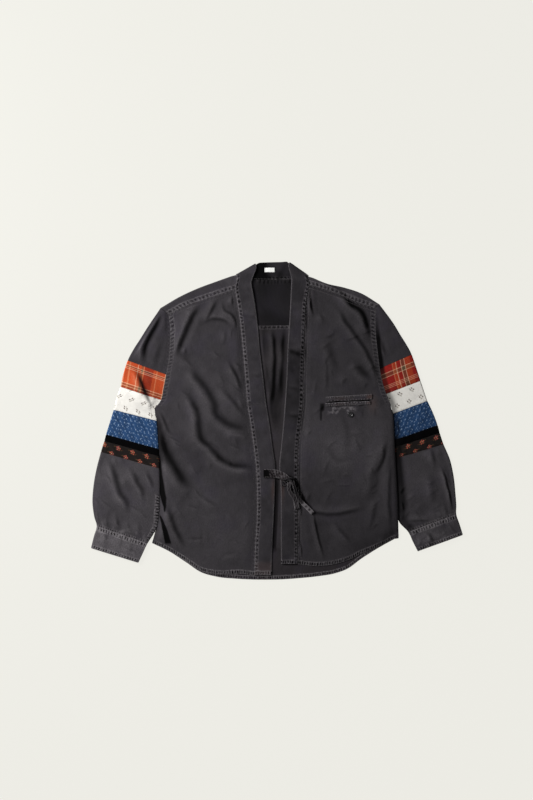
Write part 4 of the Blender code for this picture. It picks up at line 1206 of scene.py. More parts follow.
def make_band(materials):
    """The long strip: up the left front, round the neck and down the right front to its hem."""
    up = band_rows(-1, LEFT_SHOULDER[-1].seam_y, BAND_JOIN_Y, 30)[::-1]
    down = band_rows(1, RIGHT_SHOULDER[-1].seam_y, front_foot_y(1), 60)
    left_outer, left_inner = neck_fold_rows(LEFT_NECK_FOLD, 1)
    right_outer, right_inner = (skin[::-1] for skin in neck_fold_rows(RIGHT_NECK_FOLD, -1))
    behind = np.array([[(n.seam_x, n.seam_y, 0), (n.top_x, n.top_y, 0)] for n in BACK_NECK])
    outer = np.concatenate([up, left_outer, behind, right_outer, down])
    inner = np.concatenate([
        lowered(up, DOUBLED), left_inner, lowered(behind, -DOUBLED), right_inner, lowered(down, DOUBLED)
    ])
    places = running(outer.mean(axis=1))
    starts = len(up), len(up) + NECK_FOLD_ROWS + len(BACK_NECK)
    turns = [(start, start + NECK_FOLD_ROWS - 1) for start in starts]
    at = np.arange(0, places[-1], SPACING)
    for first, last in turns:
        at = at[(at < places[first]) | (at > places[last])]
    round_neck = [np.linspace(places[first], places[last], NECK_TURN_ROWS) for first, last in turns]
    at = np.sort(np.concatenate([at] + round_neck))
    grids = spread(curve(places, outer, at)), spread(curve(places, inner, at))
    for grid, least in zip(grids, (0, CLOTH)):
        grid[..., 2] = np.maximum(grid[..., 2], least)
    band = Cloth(*grids)
    x, y = band.outer[..., 0], band.outer[..., 1]
    finish_band(band, x, y, 320)
    back_from, back_to, right_from = places[turns[0][1]], places[turns[1][0]], places[turns[1][1]]
    on_back = ((at > back_from) & (at < back_to))[:, None] & np.ones_like(x, bool)
    right_part = (at > back_to)[:, None]
    # painted shade behind the neck and down the right strip, and a little darker all over
    band.shade += 0.62 * on_back + 0.14 + right_part * (0.30 + 0.30 * bell(y, 0.110, 0.070))
    # a painted shadow over the left of the band behind the neck, and uneven painted shade across the rest of
    # it
    neck_shadow = beside(x, 0.030, -0.040)
    band.shade += 1.25 * on_back * neck_shadow + 0.25 * on_back * wander(x, y, 0.012, 333)
    band.seam[..., 2] *= np.where(on_back, 0.45, 1.0)
    band.hem(331, 0.0004, rungs=1.5)
    band.rope("top", 0.005, height=0.0003, wear=0.35, seed=332, rungs=0.0)
    for away in HEM_ROWS:
        band.sew("foot", away, seed=8)
    right_start = float(band.edges["start"].run[np.searchsorted(at, right_from), 0])
    band.sew("start", BAND_ROW, 0, LEFT_SEAM, seed=9)
    band.sew("start", BAND_ROW, right_start + 0.02, seed=10)
    band.sew("start", BAND_ROW, NECK_SEAM_FROM, right_start - 0.02, face="inner", seed=11)
    return band.build("neck_band_cloth", materials["denim"], ["neck_band"])


# Sleeves

SLEEVE_COLUMNS, SLEEVE_FOLD_COLUMNS, SLEEVE_BACK_COLUMNS = 72, 8, 16
SLEEVE_LOFT = 0.0012  # how far a sleeve's front layer bows up between its edges
LEFT_SPRIGS_DROP = 0.0095  # how much lower the sprigs lie on the left white band than on the right one
PATCHES = ("plaid_band", "white_band", "blue_band", "ribbon_band", "dark_band")
# The painted shadow of the body on the right sleeve: at some of its stations, how wide it is and how dark.
SLEEVE_SHADOW = (
    (0, 0.8, 2, 4, 5, 6, 7.8, 8.6, 9.6, 11, 15, 16.3),
    (0.004, 0.007, 0.010, 0.011, 0.011, 0.012, 0.012, 0.018, 0.016, 0.017, 0.024, 0.020),
    (0.0, 0.6, 1.30, 1.25, 0.80, 0.85, 0.80, 0.70, 0.75, 1.35, 1.10, 0.80),
)


def sleeve_front(side, stations, thickness, top, start, way, width):
    """The front layer of a stretch of sleeve: its two faces, how far its folds lift it, and their painted
    shade.

    The left sleeve bulges over the body, and the right one goes in under it.
    """
    edge = mix(SHOULDER_TOP, 2 * thickness + CLEAR, past(stations, 4.5, 2.5))[:, None]
    free = ease(stations - UNDERARM)[:, None]
    run = graded(SLEEVE_COLUMNS)[None, :] * (width - top / 2)
    shift = -OVERHANG * np.sin(pi * np.clip(run / ROLL, 0, 1)) * free if side < 0 else 0 * run
    room = mix(0.018, ROLL if side < 0 else 0.024, free)
    height = mix(edge, top, ease(run / room)) + SLEEVE_LOFT * np.sin(pi * np.clip(run / width, 0, 1))
    flat = start + way * (run + shift)[..., None]
    x, y = flat[..., 0], flat[..., 1]
    folds, seed = (LEFT_SLEEVE_FOLDS, 400) if side < 0 else (RIGHT_SLEEVE_FOLDS, 500)
    if free.min() > 0:
        folds += tuple(creases(20, seed + 20, (x.min(), y.min()), (x.max(), y.max()), -side * 0.4))
    lift, lee_shade, crest = folded(folds, x, y, seed)
    calm = past(run, 0.002, 0.012) * ease((width - top / 2 - run) / 0.010)
    bump = (lift + crumple(x, y, seed) * 0.9) * calm
    front = np.stack([x, y, height + bump], axis=2)
    return front, lined(front, thickness), bump, (0.82 * lee_shade - 0.22 * crest) * calm


def sleeve_grid(side, stations, thickness, top):
    """Stretches of a sleeve as rings: the front layer, the outer fold and the back layer."""
    start, end = (line(side, stations)[:, None, :] for line in (sleeve_inside, sleeve_outside))
    width = np.linalg.norm(end - start, axis=2)
    way = (end - start) / width[..., None]
    front, lining, bump, shade = sleeve_front(side, stations, thickness, top, start, way, width)
    outer, inner = [front], [lining]
    radius = top / 2
    angles = np.linspace(0, pi, SLEEVE_FOLD_COLUMNS + 1)[None, 1:-1]
    for skin, r in ((outer, radius), (inner, radius - thickness)):
        turn = start + way * (width - radius + np.sin(angles) * r)[..., None]
        skin.append(np.concatenate([turn, (radius + np.cos(angles) * r + 0 * width)[..., None]], axis=2))
    back = start + way * (graded(SLEEVE_BACK_COLUMNS)[None, ::-1] * (width - radius))[..., None]
    outer.append(np.concatenate([back, 0 * back[..., :1]], axis=2))
    inner.append(lowered(outer[-1], -thickness))
    outer, inner = np.concatenate(outer, axis=1), np.concatenate(inner, axis=1)
    behind = ((0, 0), (0, outer.shape[1] - bump.shape[1]))
    return outer, inner, np.pad(bump, behind), np.pad(shade, behind)


def shade_right_sleeve(piece, node, stations):
    """The body stands over the right sleeve: its shadow is painted beside it, down to the cuff."""
    run = piece.edges["start"].away
    width, depth = (np.interp(stations, SLEEVE_SHADOW[0], row)[:, None] for row in SLEEVE_SHADOW[1:])
    soft = 0.007 if node in ("sleeve_top", "plaid_band") else 0.015
    if node != "cuff":
        piece.shade += depth * (1 - ease((run - width + 0.5 * soft) / soft))
    # more painted shade across the white and blue bands beside the body
    if node in ("white_band", "blue_band"):
        piece.shade += (0.42 if node == "white_band" else 0.26) * beside(run, 0.050)


def finish_lower_sleeve(piece, side, seed):
    """Wear and scuffs, the seam of the cuff and, on the left, the roped seam under the arm."""
    left = side < 0
    x, y = piece.outer[..., 0], piece.outer[..., 1]
    piece.wear += (0.11 if left else 0.10) + 0.05 * wander(x, y, 0.035, seed + 3)
    scuffed = np.clip(2.0 * wander(x, y, 0.007, seed + 6), 0, 1)
    piece.wear += (0.40 if left else 0.14) * scuffed * beside(piece.edges["foot"].away, 0.030)
    piece.rope("foot", 0.006, seed=seed + 1, wear=0.6, pitch=HEM_ROPE)
    piece.sew("foot", 0.0030, 0, 0.125, seed=seed)
    if left:
        open_from = 0.058  # below it, the seam lies bare beside the body
        piece.rope("start", 0.0150, seed=seed + 2, wear=0.50, first=open_from, pitch=0.0070, rungs=1.6)
        piece.wear += 0.30 * beside(piece.edges["start"].away, 0.0024)
        for away in (0.0040, 0.0110):
            piece.sew("start", away, open_from, seed=seed + 1)


def finish_cuff(piece, side, seed):
    """Worn and scuffed cloth between two roped edges. The left cuff is frayed at its outer corner."""
    x, y = piece.outer[..., 0], piece.outer[..., 1]
    top, foot = piece.edges["top"].away, piece.edges["foot"].away
    # the left cuff paler than the right: partly wear and partly painted light from the left
    piece.wear += (0.44 if side < 0 else 0.20) + 0.15 * wander(x, y, 0.016, seed + 3)
    piece.rope("top", 0.0105, height=0.0005, seed=seed + 1, wear=0.85, pitch=0.0068)
    piece.rope("foot", 0.009, height=0.0006, seed=seed + 2, wear=0.85, pitch=HEM_ROPE)
    scuffed = np.clip(2.2 * wander(piece.uv[..., 0], piece.uv[..., 1], 0.0065, seed + 6) + 0.2, 0, 1)
    piece.wear += 0.42 * scuffed * beside(top, 0.010, 0.006)
    if side < 0:
        frayed = until(x, -0.398, 0.014) * beside(top, 0.006, 0.007)
        piece.wear += 0.9 * frayed * (0.4 + scuffed)
    piece.wear += 0.30 * scuffed * beside(foot, 0.008, 0.004)
    piece.round_off("foot", 0.0012, 0.8)
    for edge, away in (("top", 0.0020), ("top", 0.0070), ("foot", 0.0022), ("foot", 0.0070)):
        piece.sew(edge, away, 0, 0.118, seed=seed + 4)


def make_sleeve_piece(side, hand, node, first, last, material, slot):
    """The stretch of a sleeve between two of its sections: a band, or the cloth above or below the bands."""
    thickness, top = (DOUBLED, CUFF_TOP) if node == "cuff" else (CLOTH, SLEEVE_TOP)
    stations = even_stations(lambda at: sleeve_outside(side, at), first, last)
    outer, inner, bump, shade = sleeve_grid(side, stations, thickness, top)
    piece = Cloth(outer, inner)
    piece.relief = bump
    piece.even_down()
    seed = (600 if side < 0 else 700) + 10 * first
    piece.age(crest=0.22, hollow_shade=0.60, seed=seed)
    # the folds' painted shade; below 0, their paler ridges, partly wear and partly painted highlight
    piece.shade += np.maximum(shade, 0)
    piece.wear += np.maximum(-shade, 0)
    if side > 0:
        shade_right_sleeve(piece, node, stations)
    if node == "sleeve_top":
        piece.rope("start", 0.006, height=0.0003, wear=0.3, seed=seed, rungs=0.0)
        piece.shade += 0.10
    elif node == "sleeve_lower":
        finish_lower_sleeve(piece, side, seed)
    elif node == "cuff":
        finish_cuff(piece, side, seed)
    if (side, node) == (-1, "white_band"):
        # painted shade: the lamp lights the left white band more than the right one
        piece.shade += 0.12
        piece.uv[..., 1] += LEFT_SPRIGS_DROP
    if node in PATCHES:
        for edge in ("top", "foot"):
            piece.round_off(edge, 0.0009, 0.0)
            piece.shade += 0.35 * beside(piece.edges[edge].away, 0.0018)
    name = f"{node}_{hand}"
    piece.build(f"{name}_cloth", material, [name])


def make_sleeve(side, hand, materials):
    """Top, five patchwork bands, lower sleeve and cuff, each from one named section to another."""
    names = [row.name for row in sleeve_of(side)]
    stretches = (
        ("sleeve_top", "shoulder", "plaid", "denim", "denim"),
        ("plaid_band", "plaid", "white", f"plaid_{hand}", "plaid"),
        ("white_band", "white", "blue", "white_calico", "white_calico"),
        ("blue_band", "blue", "ribbon", "blue_calico", "blue_calico"),
        ("ribbon_band", "ribbon", "dark", "velvet", "velvet"),
        ("dark_band", "dark", "lower", "dark_floral", "dark_floral"),
        ("sleeve_lower", "lower", "cuff", "denim", "denim"),
        ("cuff", "cuff", "end", "denim", "denim"),
    )
    for node, first, last, material, slot in stretches:
        stretch = names.index(first), names.index(last)
        make_sleeve_piece(side, hand, node, *stretch, materials[material], slot)


# What lies on the panels

Lip = namedtuple("Lip", "x low high")
UPPER_LIP = (Lip(0.116, 0.0440, 0.0548), Lip(0.226, 0.0494, 0.0618))
LOWER_LIP = (Lip(0.116, 0.0325, 0.0409), Lip(0.222, 0.0372, 0.0455))
BUTTON_AT = (0.175, 0.014)
BUTTON_RADIUS = 0.0062
BUTTON_HEIGHT = 0.0022
LABEL_CENTRE = (-0.0145, 0.3535)
LABEL_SIZE = (0.024, 0.0105, 0.001)
TAPE_SPACING = 0.0013  # between the rows of a tie

# The two ties and the turn of their knot, as the middle line of each tape's outer face, with its width there
# and how far its left edge is turned up.
Tape = namedtuple("Tape", "x y z width roll")
LEFT_TIE = rows_of(
    Tape,
    (-0.0290, -0.1245, 0.0068, 0.0205, 0.00),
    (-0.0150, -0.1245, 0.0070, 0.0205, 0.00),
    (0.0000, -0.1255, 0.0078, 0.0195, 0.05),
    (0.0120, -0.1285, 0.0094, 0.0180, 0.15),
    (0.0235, -0.1345, 0.0118, 0.0150, 0.30),
    (0.0315, -0.1430, 0.0132, 0.0110, 0.50),
    (0.0300, -0.1560, 0.0128, 0.0095, 0.55),
    (0.0345, -0.1700, 0.0112, 0.0095, 0.30),
    (0.0430, -0.1810, 0.0096, 0.0105, 0.10),
    (0.0475, -0.1930, 0.0082, 0.0115, 0.00),
    (0.0500, -0.2075, 0.0074, 0.0118, 0.00),
)
RIGHT_TIE = rows_of(
    Tape,
    (0.0135, -0.1480, 0.0064, 0.0110, 0.00),
    (0.0260, -0.1475, 0.0076, 0.0105, 0.10),
    (0.0375, -0.1420, 0.0124, 0.0090, -0.30),
    (0.0430, -0.1540, 0.0156, 0.0085, -0.55),
    (0.0470, -0.1680, 0.0152, 0.0085, -0.50),
    (0.0520, -0.1810, 0.0130, 0.0088, -0.20),
    (0.0600, -0.1910, 0.0112, 0.0092, 0.00),
    (0.0735, -0.2045, 0.0104, 0.0096, 0.05),
    (0.0870, -0.2180, 0.0098, 0.0098, 0.05),
)
KNOT = rows_of(
    Tape,
    (0.0205, -0.1435, 0.0086, 0.0080, 0.00),
    (0.0255, -0.1395, 0.0136, 0.0095, 0.00),
    (0.0320, -0.1375, 0.0158, 0.0095, 0.00),
    (0.0385, -0.1385, 0.0140, 0.0090, 0.00),
    (0.0435, -0.1425, 0.0088, 0.0080, 0.00),
)


def surface_of(*pieces):
    """A function that gives the height of the uppermost of some pieces, or 0 beside them."""
    trees = [
        BVHTree.FromPolygons([v.co for v in piece.data.vertices], [p.vertices for p in piece.data.polygons])
        for piece in pieces
    ]

    def height(x, y):
        hits = (tree.ray_cast(Vector((x, y, 0.1)), Vector((0, 0, -1)))[0] for tree in trees)
        return max((hit.z for hit in hits if hit), default=0.0)

    return np.vectorize(height)


def pocket_marks(front, x, y):
    """What the pocket leaves on the front: painted shade in the slit, its bag's print, and wear round about.
    """
    slit_y = mix(0.0427, 0.0475, (x - 0.116) / 0.110)
    inside = past(x, 0.116, 0.004) * until(x, 0.224, 0.004)
    # painted shade in the slit between the lips
    front.shade += 1.3 * inside * beside(np.abs(y - slit_y), 0.0012, 0.0018)
    wide_top = past(y, 0.019, 0.006)
    bag = np.exp(-(((x - mix(0.1062, 0.1092, wide_top)) / mix(0.0026, 0.0056, wide_top)) ** 4))
    bag = bag * past(y, -0.004, 0.008) * until(y, 0.043, 0.006)
    front.lift(-0.0006 * bag)
    front.shade += 0.95 * bag
    front.shade += 0.35 * bell(x, 0.204, 0.0020) * until(y, 0.030, 0.01) * past(y, 0.002, 0.01)
    front.shade += 0.30 * bell(x, 0.233, 0.0025) * until(y, 0.036, 0.01) * past(y, 0.006, 0.01)
    near_end = mound(x, y, (0.228, 0.040), (0.010, 0.018))
    front.warm += 0.5 * near_end
    front.wear += 0.20 * near_end * (0.5 + 0.5 * wander(x, y, 0.007, 70))
    below = past(x, 0.118, 0.012) * until(x, 0.194, 0.020)
    below = below * until(y, 0.0335, 0.003) * past(y, 0.010, 0.012)
    scuffs = np.clip(1.8 * wander(x, y, 0.0042, 71) + 0.7 * wander(x, y, 0.015, 72), 0, 1)
    front.wear += 0.95 * below * scuffs
    front.shade += 0.35 * below * np.clip(1.5 * wander(x, y, 0.0045, 74), 0, 1)
    front.wear += 0.10 * mound(x, y, (0.160, -0.060), (0.055, 0.060))


def make_lip(name, node, edges, height, materials, seed):
    """One lip of the pocket: a narrow welt, laid on the front and sewn down round its outer side."""
    start, end = edges
    part, step = graded(56, 0.3)[None, :], graded(10)[:, None]
    x = mix(start.x, end.x, part) + 0 * step
    y = mix(mix(start.high, end.high, part), mix(start.low, end.low, part), step)
    y = y + 0.0007 * wander(x, y, 0.011, seed + 5)
    crown = 0.0005 * np.sin(pi * step) * np.sin(pi * part) ** 0.3
    outer = np.stack([x, y, height(x, y) + 2 * CLEAR + CLOTH + crown], axis=2)
    lip = Cloth(outer, lowered(outer, CLOTH))
    lip.wear += 0.05 + 0.06 * wander(x, y, 0.012, seed)
    lip.shade += 0.25
    lip.warm += 0.80 * past(x, 0.208, 0.012) + 0.22 * bell(x, 0.150, 0.020)
    free, sewn = ("foot", "top") if node == "pocket_upper_lip" else ("top", "foot")
    lip.round_off(free, 0.0012, 0.95)
    lip.round_off(sewn, 0.0009, 0.55)
    lip.rope(sewn, 0.0045, height=0.0003, wear=0.6, seed=seed, pitch=0.0050)
    lip.rope(free, 0.0040, height=0.0002, wear=0.7, seed=seed + 1, pitch=0.0072)
    for edge, away in ((sewn, 0.0018), ("start", 0.0020), ("end", 0.0020)):
        lip.sew(edge, away, 0.002, seed=seed)
    lip.build(name, materials["denim"], [node])


# The button's section from its rim's foot to its middle, as parts of its radius and height.
BUTTON_PROFILE = (
    (0.90, 0.0), (0.99, 0.25), (1.00, 0.55), (0.95, 0.86), (0.86, 1.0), (0.77, 0.97),
    (0.70, 0.74), (0.55, 0.66), (0.30, 0.64),
)
BUTTON_MIDDLE = 0.64  # how high its middle is, as a part of its height
BUTTON_SEGMENTS = 48


def make_button(height, materials):
    """A flat sew-through button with a raised rim and its crossed thread."""
    x, y = BUTTON_AT
    beneath = (-0.006, 0, 0.006)
    base = float(max(height(x + dx, y + dy) for dx in beneath for dy in beneath)) + CLEAR
    points, faces = [], []
    for reach, rise in BUTTON_PROFILE:
        for turn in np.arange(BUTTON_SEGMENTS) * 2 * pi / BUTTON_SEGMENTS:
            r = reach * BUTTON_RADIUS
            points.append((x + r * np.cos(turn), y + r * np.sin(turn), base + rise * BUTTON_HEIGHT))
    top = len(points) - BUTTON_SEGMENTS
    for ring in range(0, top, BUTTON_SEGMENTS):
        for k in range(BUTTON_SEGMENTS):
            a, b = ring + k, ring + (k + 1) % BUTTON_SEGMENTS
            faces.append((a, b, b + BUTTON_SEGMENTS, a + BUTTON_SEGMENTS))
    seat = base + BUTTON_MIDDLE * BUTTON_HEIGHT
    points += [(x, y, base), (x, y, seat)]
    for k in range(BUTTON_SEGMENTS):
        after = (k + 1) % BUTTON_SEGMENTS
        faces += [(k, len(points) - 2, after), (top + k, top + after, len(points) - 1)]
    mesh = bpy.data.meshes.new("button")
    mesh.from_pydata(points, [], faces)
    mesh.materials.append(materials["button"])
    mesh.shade_smooth()
    mesh.set_sharp_from_angle(angle=0.9)
    piece = put("button_disc", mesh)
    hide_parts("pocket_button")
    for turn in (pi / 4, 3 * pi / 4):
        for shift in (-0.0009, 0.0009):
            way = np.array([np.cos(turn), np.sin(turn), 0.0])
            aside = np.array([-way[1], way[0], 0.0])
            place = np.array([x, y, seat + 0.0002]) + aside * shift * 0.4
            THREADS.append((place, way, np.array([0.0, 0.0, 1.0])))


def make_label(materials):
    """A small blank woven label, darker at its ends, and sewn inside the standing band."""
    wide, high, thick = LABEL_SIZE
    part, step = graded(24, 0.6)[None, :], graded(10, 0.5)[:, None]
    x = LABEL_CENTRE[0] + wide * (part - 0.5) + 0 * step
    y = LABEL_CENTRE[1] + high * (0.5 - step) + 0 * part
    base = DOUBLED + CLEAR + thick + 0.0005 + 0.0004 * wander(x, y, 0.012, 81)
    outer = np.stack([x, y, base], axis=2)
    label = Cloth(outer, lowered(outer, thick))
    for edge in label.edges:
        label.round_off(edge, 0.0006, 0.0)
    start, end = label.edges["start"].away, label.edges["end"].away
    label.shade += 0.10 * beside(start, 0.002) + 0.10 * beside(end, 0.002)
    for edge in ("start", "end"):
        label.sew(edge, 0.0012, seed=82)
    label.build("label_cloth", materials["label"], ["neck_label"])


def tape_grid(tapes, height, seed):
    """A tape's outer face on whatever is under it, and its parts across from -1 to 1."""
    rows = np.array(tapes)
    places = running(rows[:, :3])
    at = np.linspace(0, places[-1], round(places[-1] / TAPE_SPACING) + 1)
    middle = curve(places, rows, at)
    way = np.gradient(middle[:, :2], axis=0)
    way /= np.linalg.norm(way, axis=1, keepdims=True)
    aside = np.stack([-way[:, 1], way[:, 0]], axis=1)
    across = 2 * graded(12, 0.6)[None, :] - 1
    half = middle[:, 3:4] / 2
    flat, turned = np.cos(middle[:, 4:5]) * half * across, np.sin(middle[:, 4:5]) * half * across
    x, y = middle[:, :1] + aside[:, :1] * flat, middle[:, 1:2] + aside[:, 1:] * flat
    z = middle[:, 2:3] + turned + 0.0003 * wander(at[:, None] + 0 * across, across * 0.01, 0.012, seed)
    ground = blurred(height(x, y), 3) + DOUBLED + 2 * CLEAR
    return np.stack([x, y, blurred(np.maximum(z, ground), 1)], axis=2), across


def wear_tape(tie, across, width, left, knotted, seed):
    """Dark straps with flecks, and on the right tie a pale end with dark squares down its middle."""
    x, y = tie.outer[..., 0], tie.outer[..., 1]
    run, off_middle = tie.edges["start"].run, np.abs(across)
    from_end = run - run[-1:]  # below 0 up to the tape's far end
    none = 0 * run
    strap = beside(run, 0.020, 0.050) if left else none
    flat_end = none if left or knotted else ease((from_end + 0.036) / 0.004)
    frayed_end = ease((from_end + 0.024) / 0.012) * (0.5 + 0.9 * off_middle**3) if left else none
    flecks = np.clip(2.6 * wander(run, 0.5 * width * across, 0.0030, seed + 3) + 0.25, 0, 1)
    squares = flat_end * beside(off_middle, 0.30, 0.35) * ease(np.sin(2 * pi * run / 0.0110 + 1.0) / 0.5)
    marks = 0.7 * strap + 0.6 * (1 - strap) * (1 - flat_end)
    beat = run / mix(0.0088, 0.0062, strap) + 0.7 * across
    tie.seam = np.stack([beat, 0.48 + 0.28 * off_middle + none, marks], axis=2)
    tie.wear += 0.02 + 0.08 * wander(x, y, 0.010, seed + 1) + 0.80 * flat_end * (1 - 0.8 * squares)
    tie.wear += 0.42 * strap * flecks + 0.38 * frayed_end
    tie.shade += 0.72 + 0.18 * strap - 0.36 * strap * flecks - 0.72 * flat_end - 0.40 * frayed_end
    # the squares are printed; the knot gets painted shade
    tie.shade += 0.55 * squares + 0.35 * knotted
    tie.warm += 0.06 + 0.20 * strap


def make_tie(name, node, tapes, height, materials, seed):
    """A doubled tape with square ends, laid over whatever is under it."""
    left, knotted = tapes is LEFT_TIE, tapes is KNOT
    outer, across = tape_grid(tapes, height, seed)
    tie = Cloth(outer, lowered(outer, DOUBLED))
    wear_tape(tie, across, tapes[0].width, left, knotted, seed)
    for edge in ("start", "end"):
        tie.round_off(edge, 0.0010, 0.35 if knotted else 1.0)
    tie.round_off("foot", 0.0010, 0.8)
    if left:
        # Its root is sunk, with painted shade in it, where it comes out from under the band's edge.
        root = beside(tie.edges["start"].run, 0.008, 0.009) * beside(np.abs(across), 0.22, 0.62)
        tie.lift(-0.0010 * root, inner=False)
        tie.shade += 1.2 * root
        tie.wear *= 1 - root
    for edge in ("start", "end"):
        tie.sew(edge, 0.0018, 0.004, seed=seed)
    tie.build(f"{name}_cloth", materials["denim"], [node])


# Materials


COTTON_GLOSS = 0.05
LEAST_LIGHT = 0.02  # what is left of a colour in the deepest shade


class Nodes:
    """A node tree that is put together in small steps."""

    def __init__(self, tree):
        self.tree = tree

    def node(self, kind, inputs=None, **settings):
        node = self.tree.nodes.new(kind)
        for key, value in settings.items():
            setattr(node, key, value)
        for key, value in (inputs or {}).items():
            self.feed(node.inputs[key], value)
        return node

    def feed(self, socket, value):
        if isinstance(value, bpy.types.NodeSocket):
            self.tree.links.new(value, socket)
        elif socket.type == "RGBA":
            socket.default_value = (*value, 1)
        else:
            socket.default_value = value

    def math(self, operation, a, b=0.0, clamp=False):
        return self.node("ShaderNodeMath", {0: a, 1: b}, operation=operation, use_clamp=clamp).outputs[0]

    def blend(self, part, a, b):
        node = self.node("ShaderNodeMix", data_type="RGBA")
        for index, value in ((0, part), (6, a), (7, b)):
            self.feed(node.inputs[index], value)
        return node.outputs[2]


class Shader(Nodes):
    """A Principled material. Places on the cloth are in metres."""

    def __init__(self, name, roughness, gloss=COTTON_GLOSS, **sockets):
        self.material = bpy.data.materials.new(name)
        self.material.use_nodes = True
        super().__init__(self.material.node_tree)
        self.surface = self.tree.nodes["Principled BSDF"]
        self.surface.inputs["Roughness"].default_value = roughness
        self.surface.inputs["Specular IOR Level"].default_value = gloss
        for socket, value in sockets.items():
            self.surface.inputs[socket.replace("_", " ")].default_value = value
        uv = self.node("ShaderNodeUVMap", uv_map="cloth").outputs[0]
        parts = self.node("ShaderNodeSeparateXYZ", {0: uv}).outputs
        self.u, self.v = parts[0], parts[1]
        # The cloth's wear, its painted shade and its rusty warmth.
        wear_painted_shade_rust = self.node("ShaderNodeAttribute", attribute_name="wear_painted_shade_rust").outputs["Color"]
        self.wear, self.shade, self.warm = self.node("ShaderNodeSeparateColor", {0: wear_painted_shade_rust}).outputs[:3]

    def times(self, *values):
        out = values[0]
        for value in values[1:]:
            out = self.math("MULTIPLY", out, value)
        return out

    def plus(self, a, b, clamp=False):
        return self.math("ADD", a, b, clamp)

    def either(self, *values):
        out = values[0]
        for value in values[1:]:
            out = self.math("MAXIMUM", out, value)
        return out

    def scaled(self, colour, factor):
        """A colour, brighter or darker by a factor."""
        grey = self.node("ShaderNodeCombineXYZ", {0: factor, 1: factor, 2: factor}).outputs[0]
        node = self.node("ShaderNodeMix", data_type="RGBA", blend_type="MULTIPLY")
        for index, value in ((0, 1.0), (6, colour), (7, grey)):
            self.feed(node.inputs[index], value)
        return node.outputs[2]

    def noise(self, wide, high=None, detail=2.0, seed=0.0):
        """Noise about 0 with features of a width and a height on the cloth."""
        place = self.node(
            "ShaderNodeCombineXYZ",
            {0: self.math("DIVIDE", self.u, wide), 1: self.math("DIVIDE", self.v, high or wide), 2: seed},
        ).outputs[0]
        grain = self.node("ShaderNodeTexNoise", {"Vector": place, "Scale": 1.0, "Detail": detail})
        return self.math("SUBTRACT", grain.outputs[0], 0.5)

    def uneven(self, value, strength, *grain, clamp=False):
        """A value with noise of a strength about it, which can be kept between 0 and 1."""
        return self.plus(self.times(self.noise(*grain), strength), value, clamp)

    def centred(self, value, wide):
        """Where a value lies in its repeat, from the repeat's middle."""
        return self.times(self.math("SUBTRACT", self.math("FRACT", value), 0.5), wide)

    def cells(self, wide, high):
        """Where a point lies in its cell of a half-drop repeat, from the cell's middle."""
        row = self.math("FLOOR", self.math("DIVIDE", self.v, high))
        odd = self.math("PINGPONG", row, 1.0)
        across = self.plus(self.math("DIVIDE", self.u, wide), self.times(odd, 0.5))
        return self.centred(across, wide), self.centred(self.math("DIVIDE", self.v, high), high)

    def spot(self, cell, x, y, radius, squash=1.0, soft=0.25):
        """1 on a round or flattened spot in a cell, and 0 beside it."""
        du = self.math("SUBTRACT", cell[0], x)
        dv = self.math("DIVIDE", self.math("SUBTRACT", cell[1], y), squash)
        away = self.math("SQRT", self.plus(self.times(du, du), self.times(dv, dv)))
        return self.ramp(away, radius * (1 + soft), radius * (1 - soft))

    def spots(self, cell, places, radius, squash=1.0, soft=0.25):
        """Like spots at some places in a cell."""
        return [self.spot(cell, x, y, radius, squash, soft) for x, y in places]

    def printed(self, ground, marks, strength, colour):
        """The ground with marks printed on it, more or less strongly."""
        return self.blend(self.times(self.either(*marks), strength), ground, colour)

    def stripes(self, place, table):
        """Bands of colour across a place from 0 to 1, each from where it starts."""
        ramp = self.node("ShaderNodeValToRGB", {0: place})
        ramp.color_ramp.interpolation = "CONSTANT"
        elements = ramp.color_ramp.elements
        while len(elements) < len(table):
            elements.new(0.5)
        for element, (start, colour) in zip(elements, table):
            element.position = start
        for element, (start, colour) in zip(sorted(elements, key=lambda e: e.position), table):
            element.color = (*colour, 1)
        return ramp.outputs[0]

    def ramp(self, value, start, end):
        """0 up to one value, 1 from another on, which may be the lower of the two."""
        return self.node("ShaderNodeMapRange", {0: value, 1: start, 2: end, 3: 0.0, 4: 1.0}).outputs[0]

    def line(self, value, at, half):
        """1 where a value is near a place, and 0 beside it."""
        return self.ramp(self.math("ABSOLUTE", self.math("SUBTRACT", value, at)), half, 0.35 * half)

    def ladder(self):
        """The marks along a puckered seam: its dark hollows, and its pale ridges and two threads."""
        seam = self.node("ShaderNodeAttribute", attribute_name="seam").outputs["Vector"]
        beat, across, show = self.node("ShaderNodeSeparateXYZ", {0: seam}).outputs[:3]
        beat = self.uneven(beat, 1.1, 0.0080, 0.0080, 1, 5.0)
        wave = self.math("SINE", self.times(beat, 2 * pi))
        patchy = self.uneven(0.72, 3.4, 0.0110, 0.0110, 1, 6.0, clamp=True)
        across = self.uneven(across, 0.34, 0.0090, 0.0090, 1, 11.0)
        window = self.line(across, 0.48, 0.50)
        # painted shade in the hollows between the puckers
        dark = self.times(self.ramp(wave, 0.0, -0.50), window, show, patchy)
        frayed = self.uneven(0.62, 3.8, 0.0040, 0.0040, 1, 7.0, clamp=True)
        threads = self.either(self.line(across, 0.05, 0.13), self.times(self.line(across, 0.92, 0.13), 0.75))
        ridges = self.times(self.ramp(wave, 0.0, 0.70), window, 0.68)
        return dark, self.times(self.either(threads, ridges), show, frayed)

    def aged(self, colour, faded, fade=1.0, shade=0.6):
        """The colour as worn cloth shows it: faded by its wear, and darkened by the painted shade it carries.
        """
        dark, pale = self.ladder()
        rough = self.uneven(0.90, 2.2, 0.0022, 0.0040)
        wear = self.plus(self.wear, self.times(pale, 0.66))
        part = self.math("MULTIPLY", self.times(wear, rough), fade, clamp=True)
        worn = self.blend(part, colour, faded)
        hidden = self.times(self.plus(self.shade, self.times(dark, 0.74)), shade)
        light = self.math("SUBTRACT", 1.0, hidden, clamp=True)
        return self.scaled(worn, self.math("MAXIMUM", light, LEAST_LIGHT))

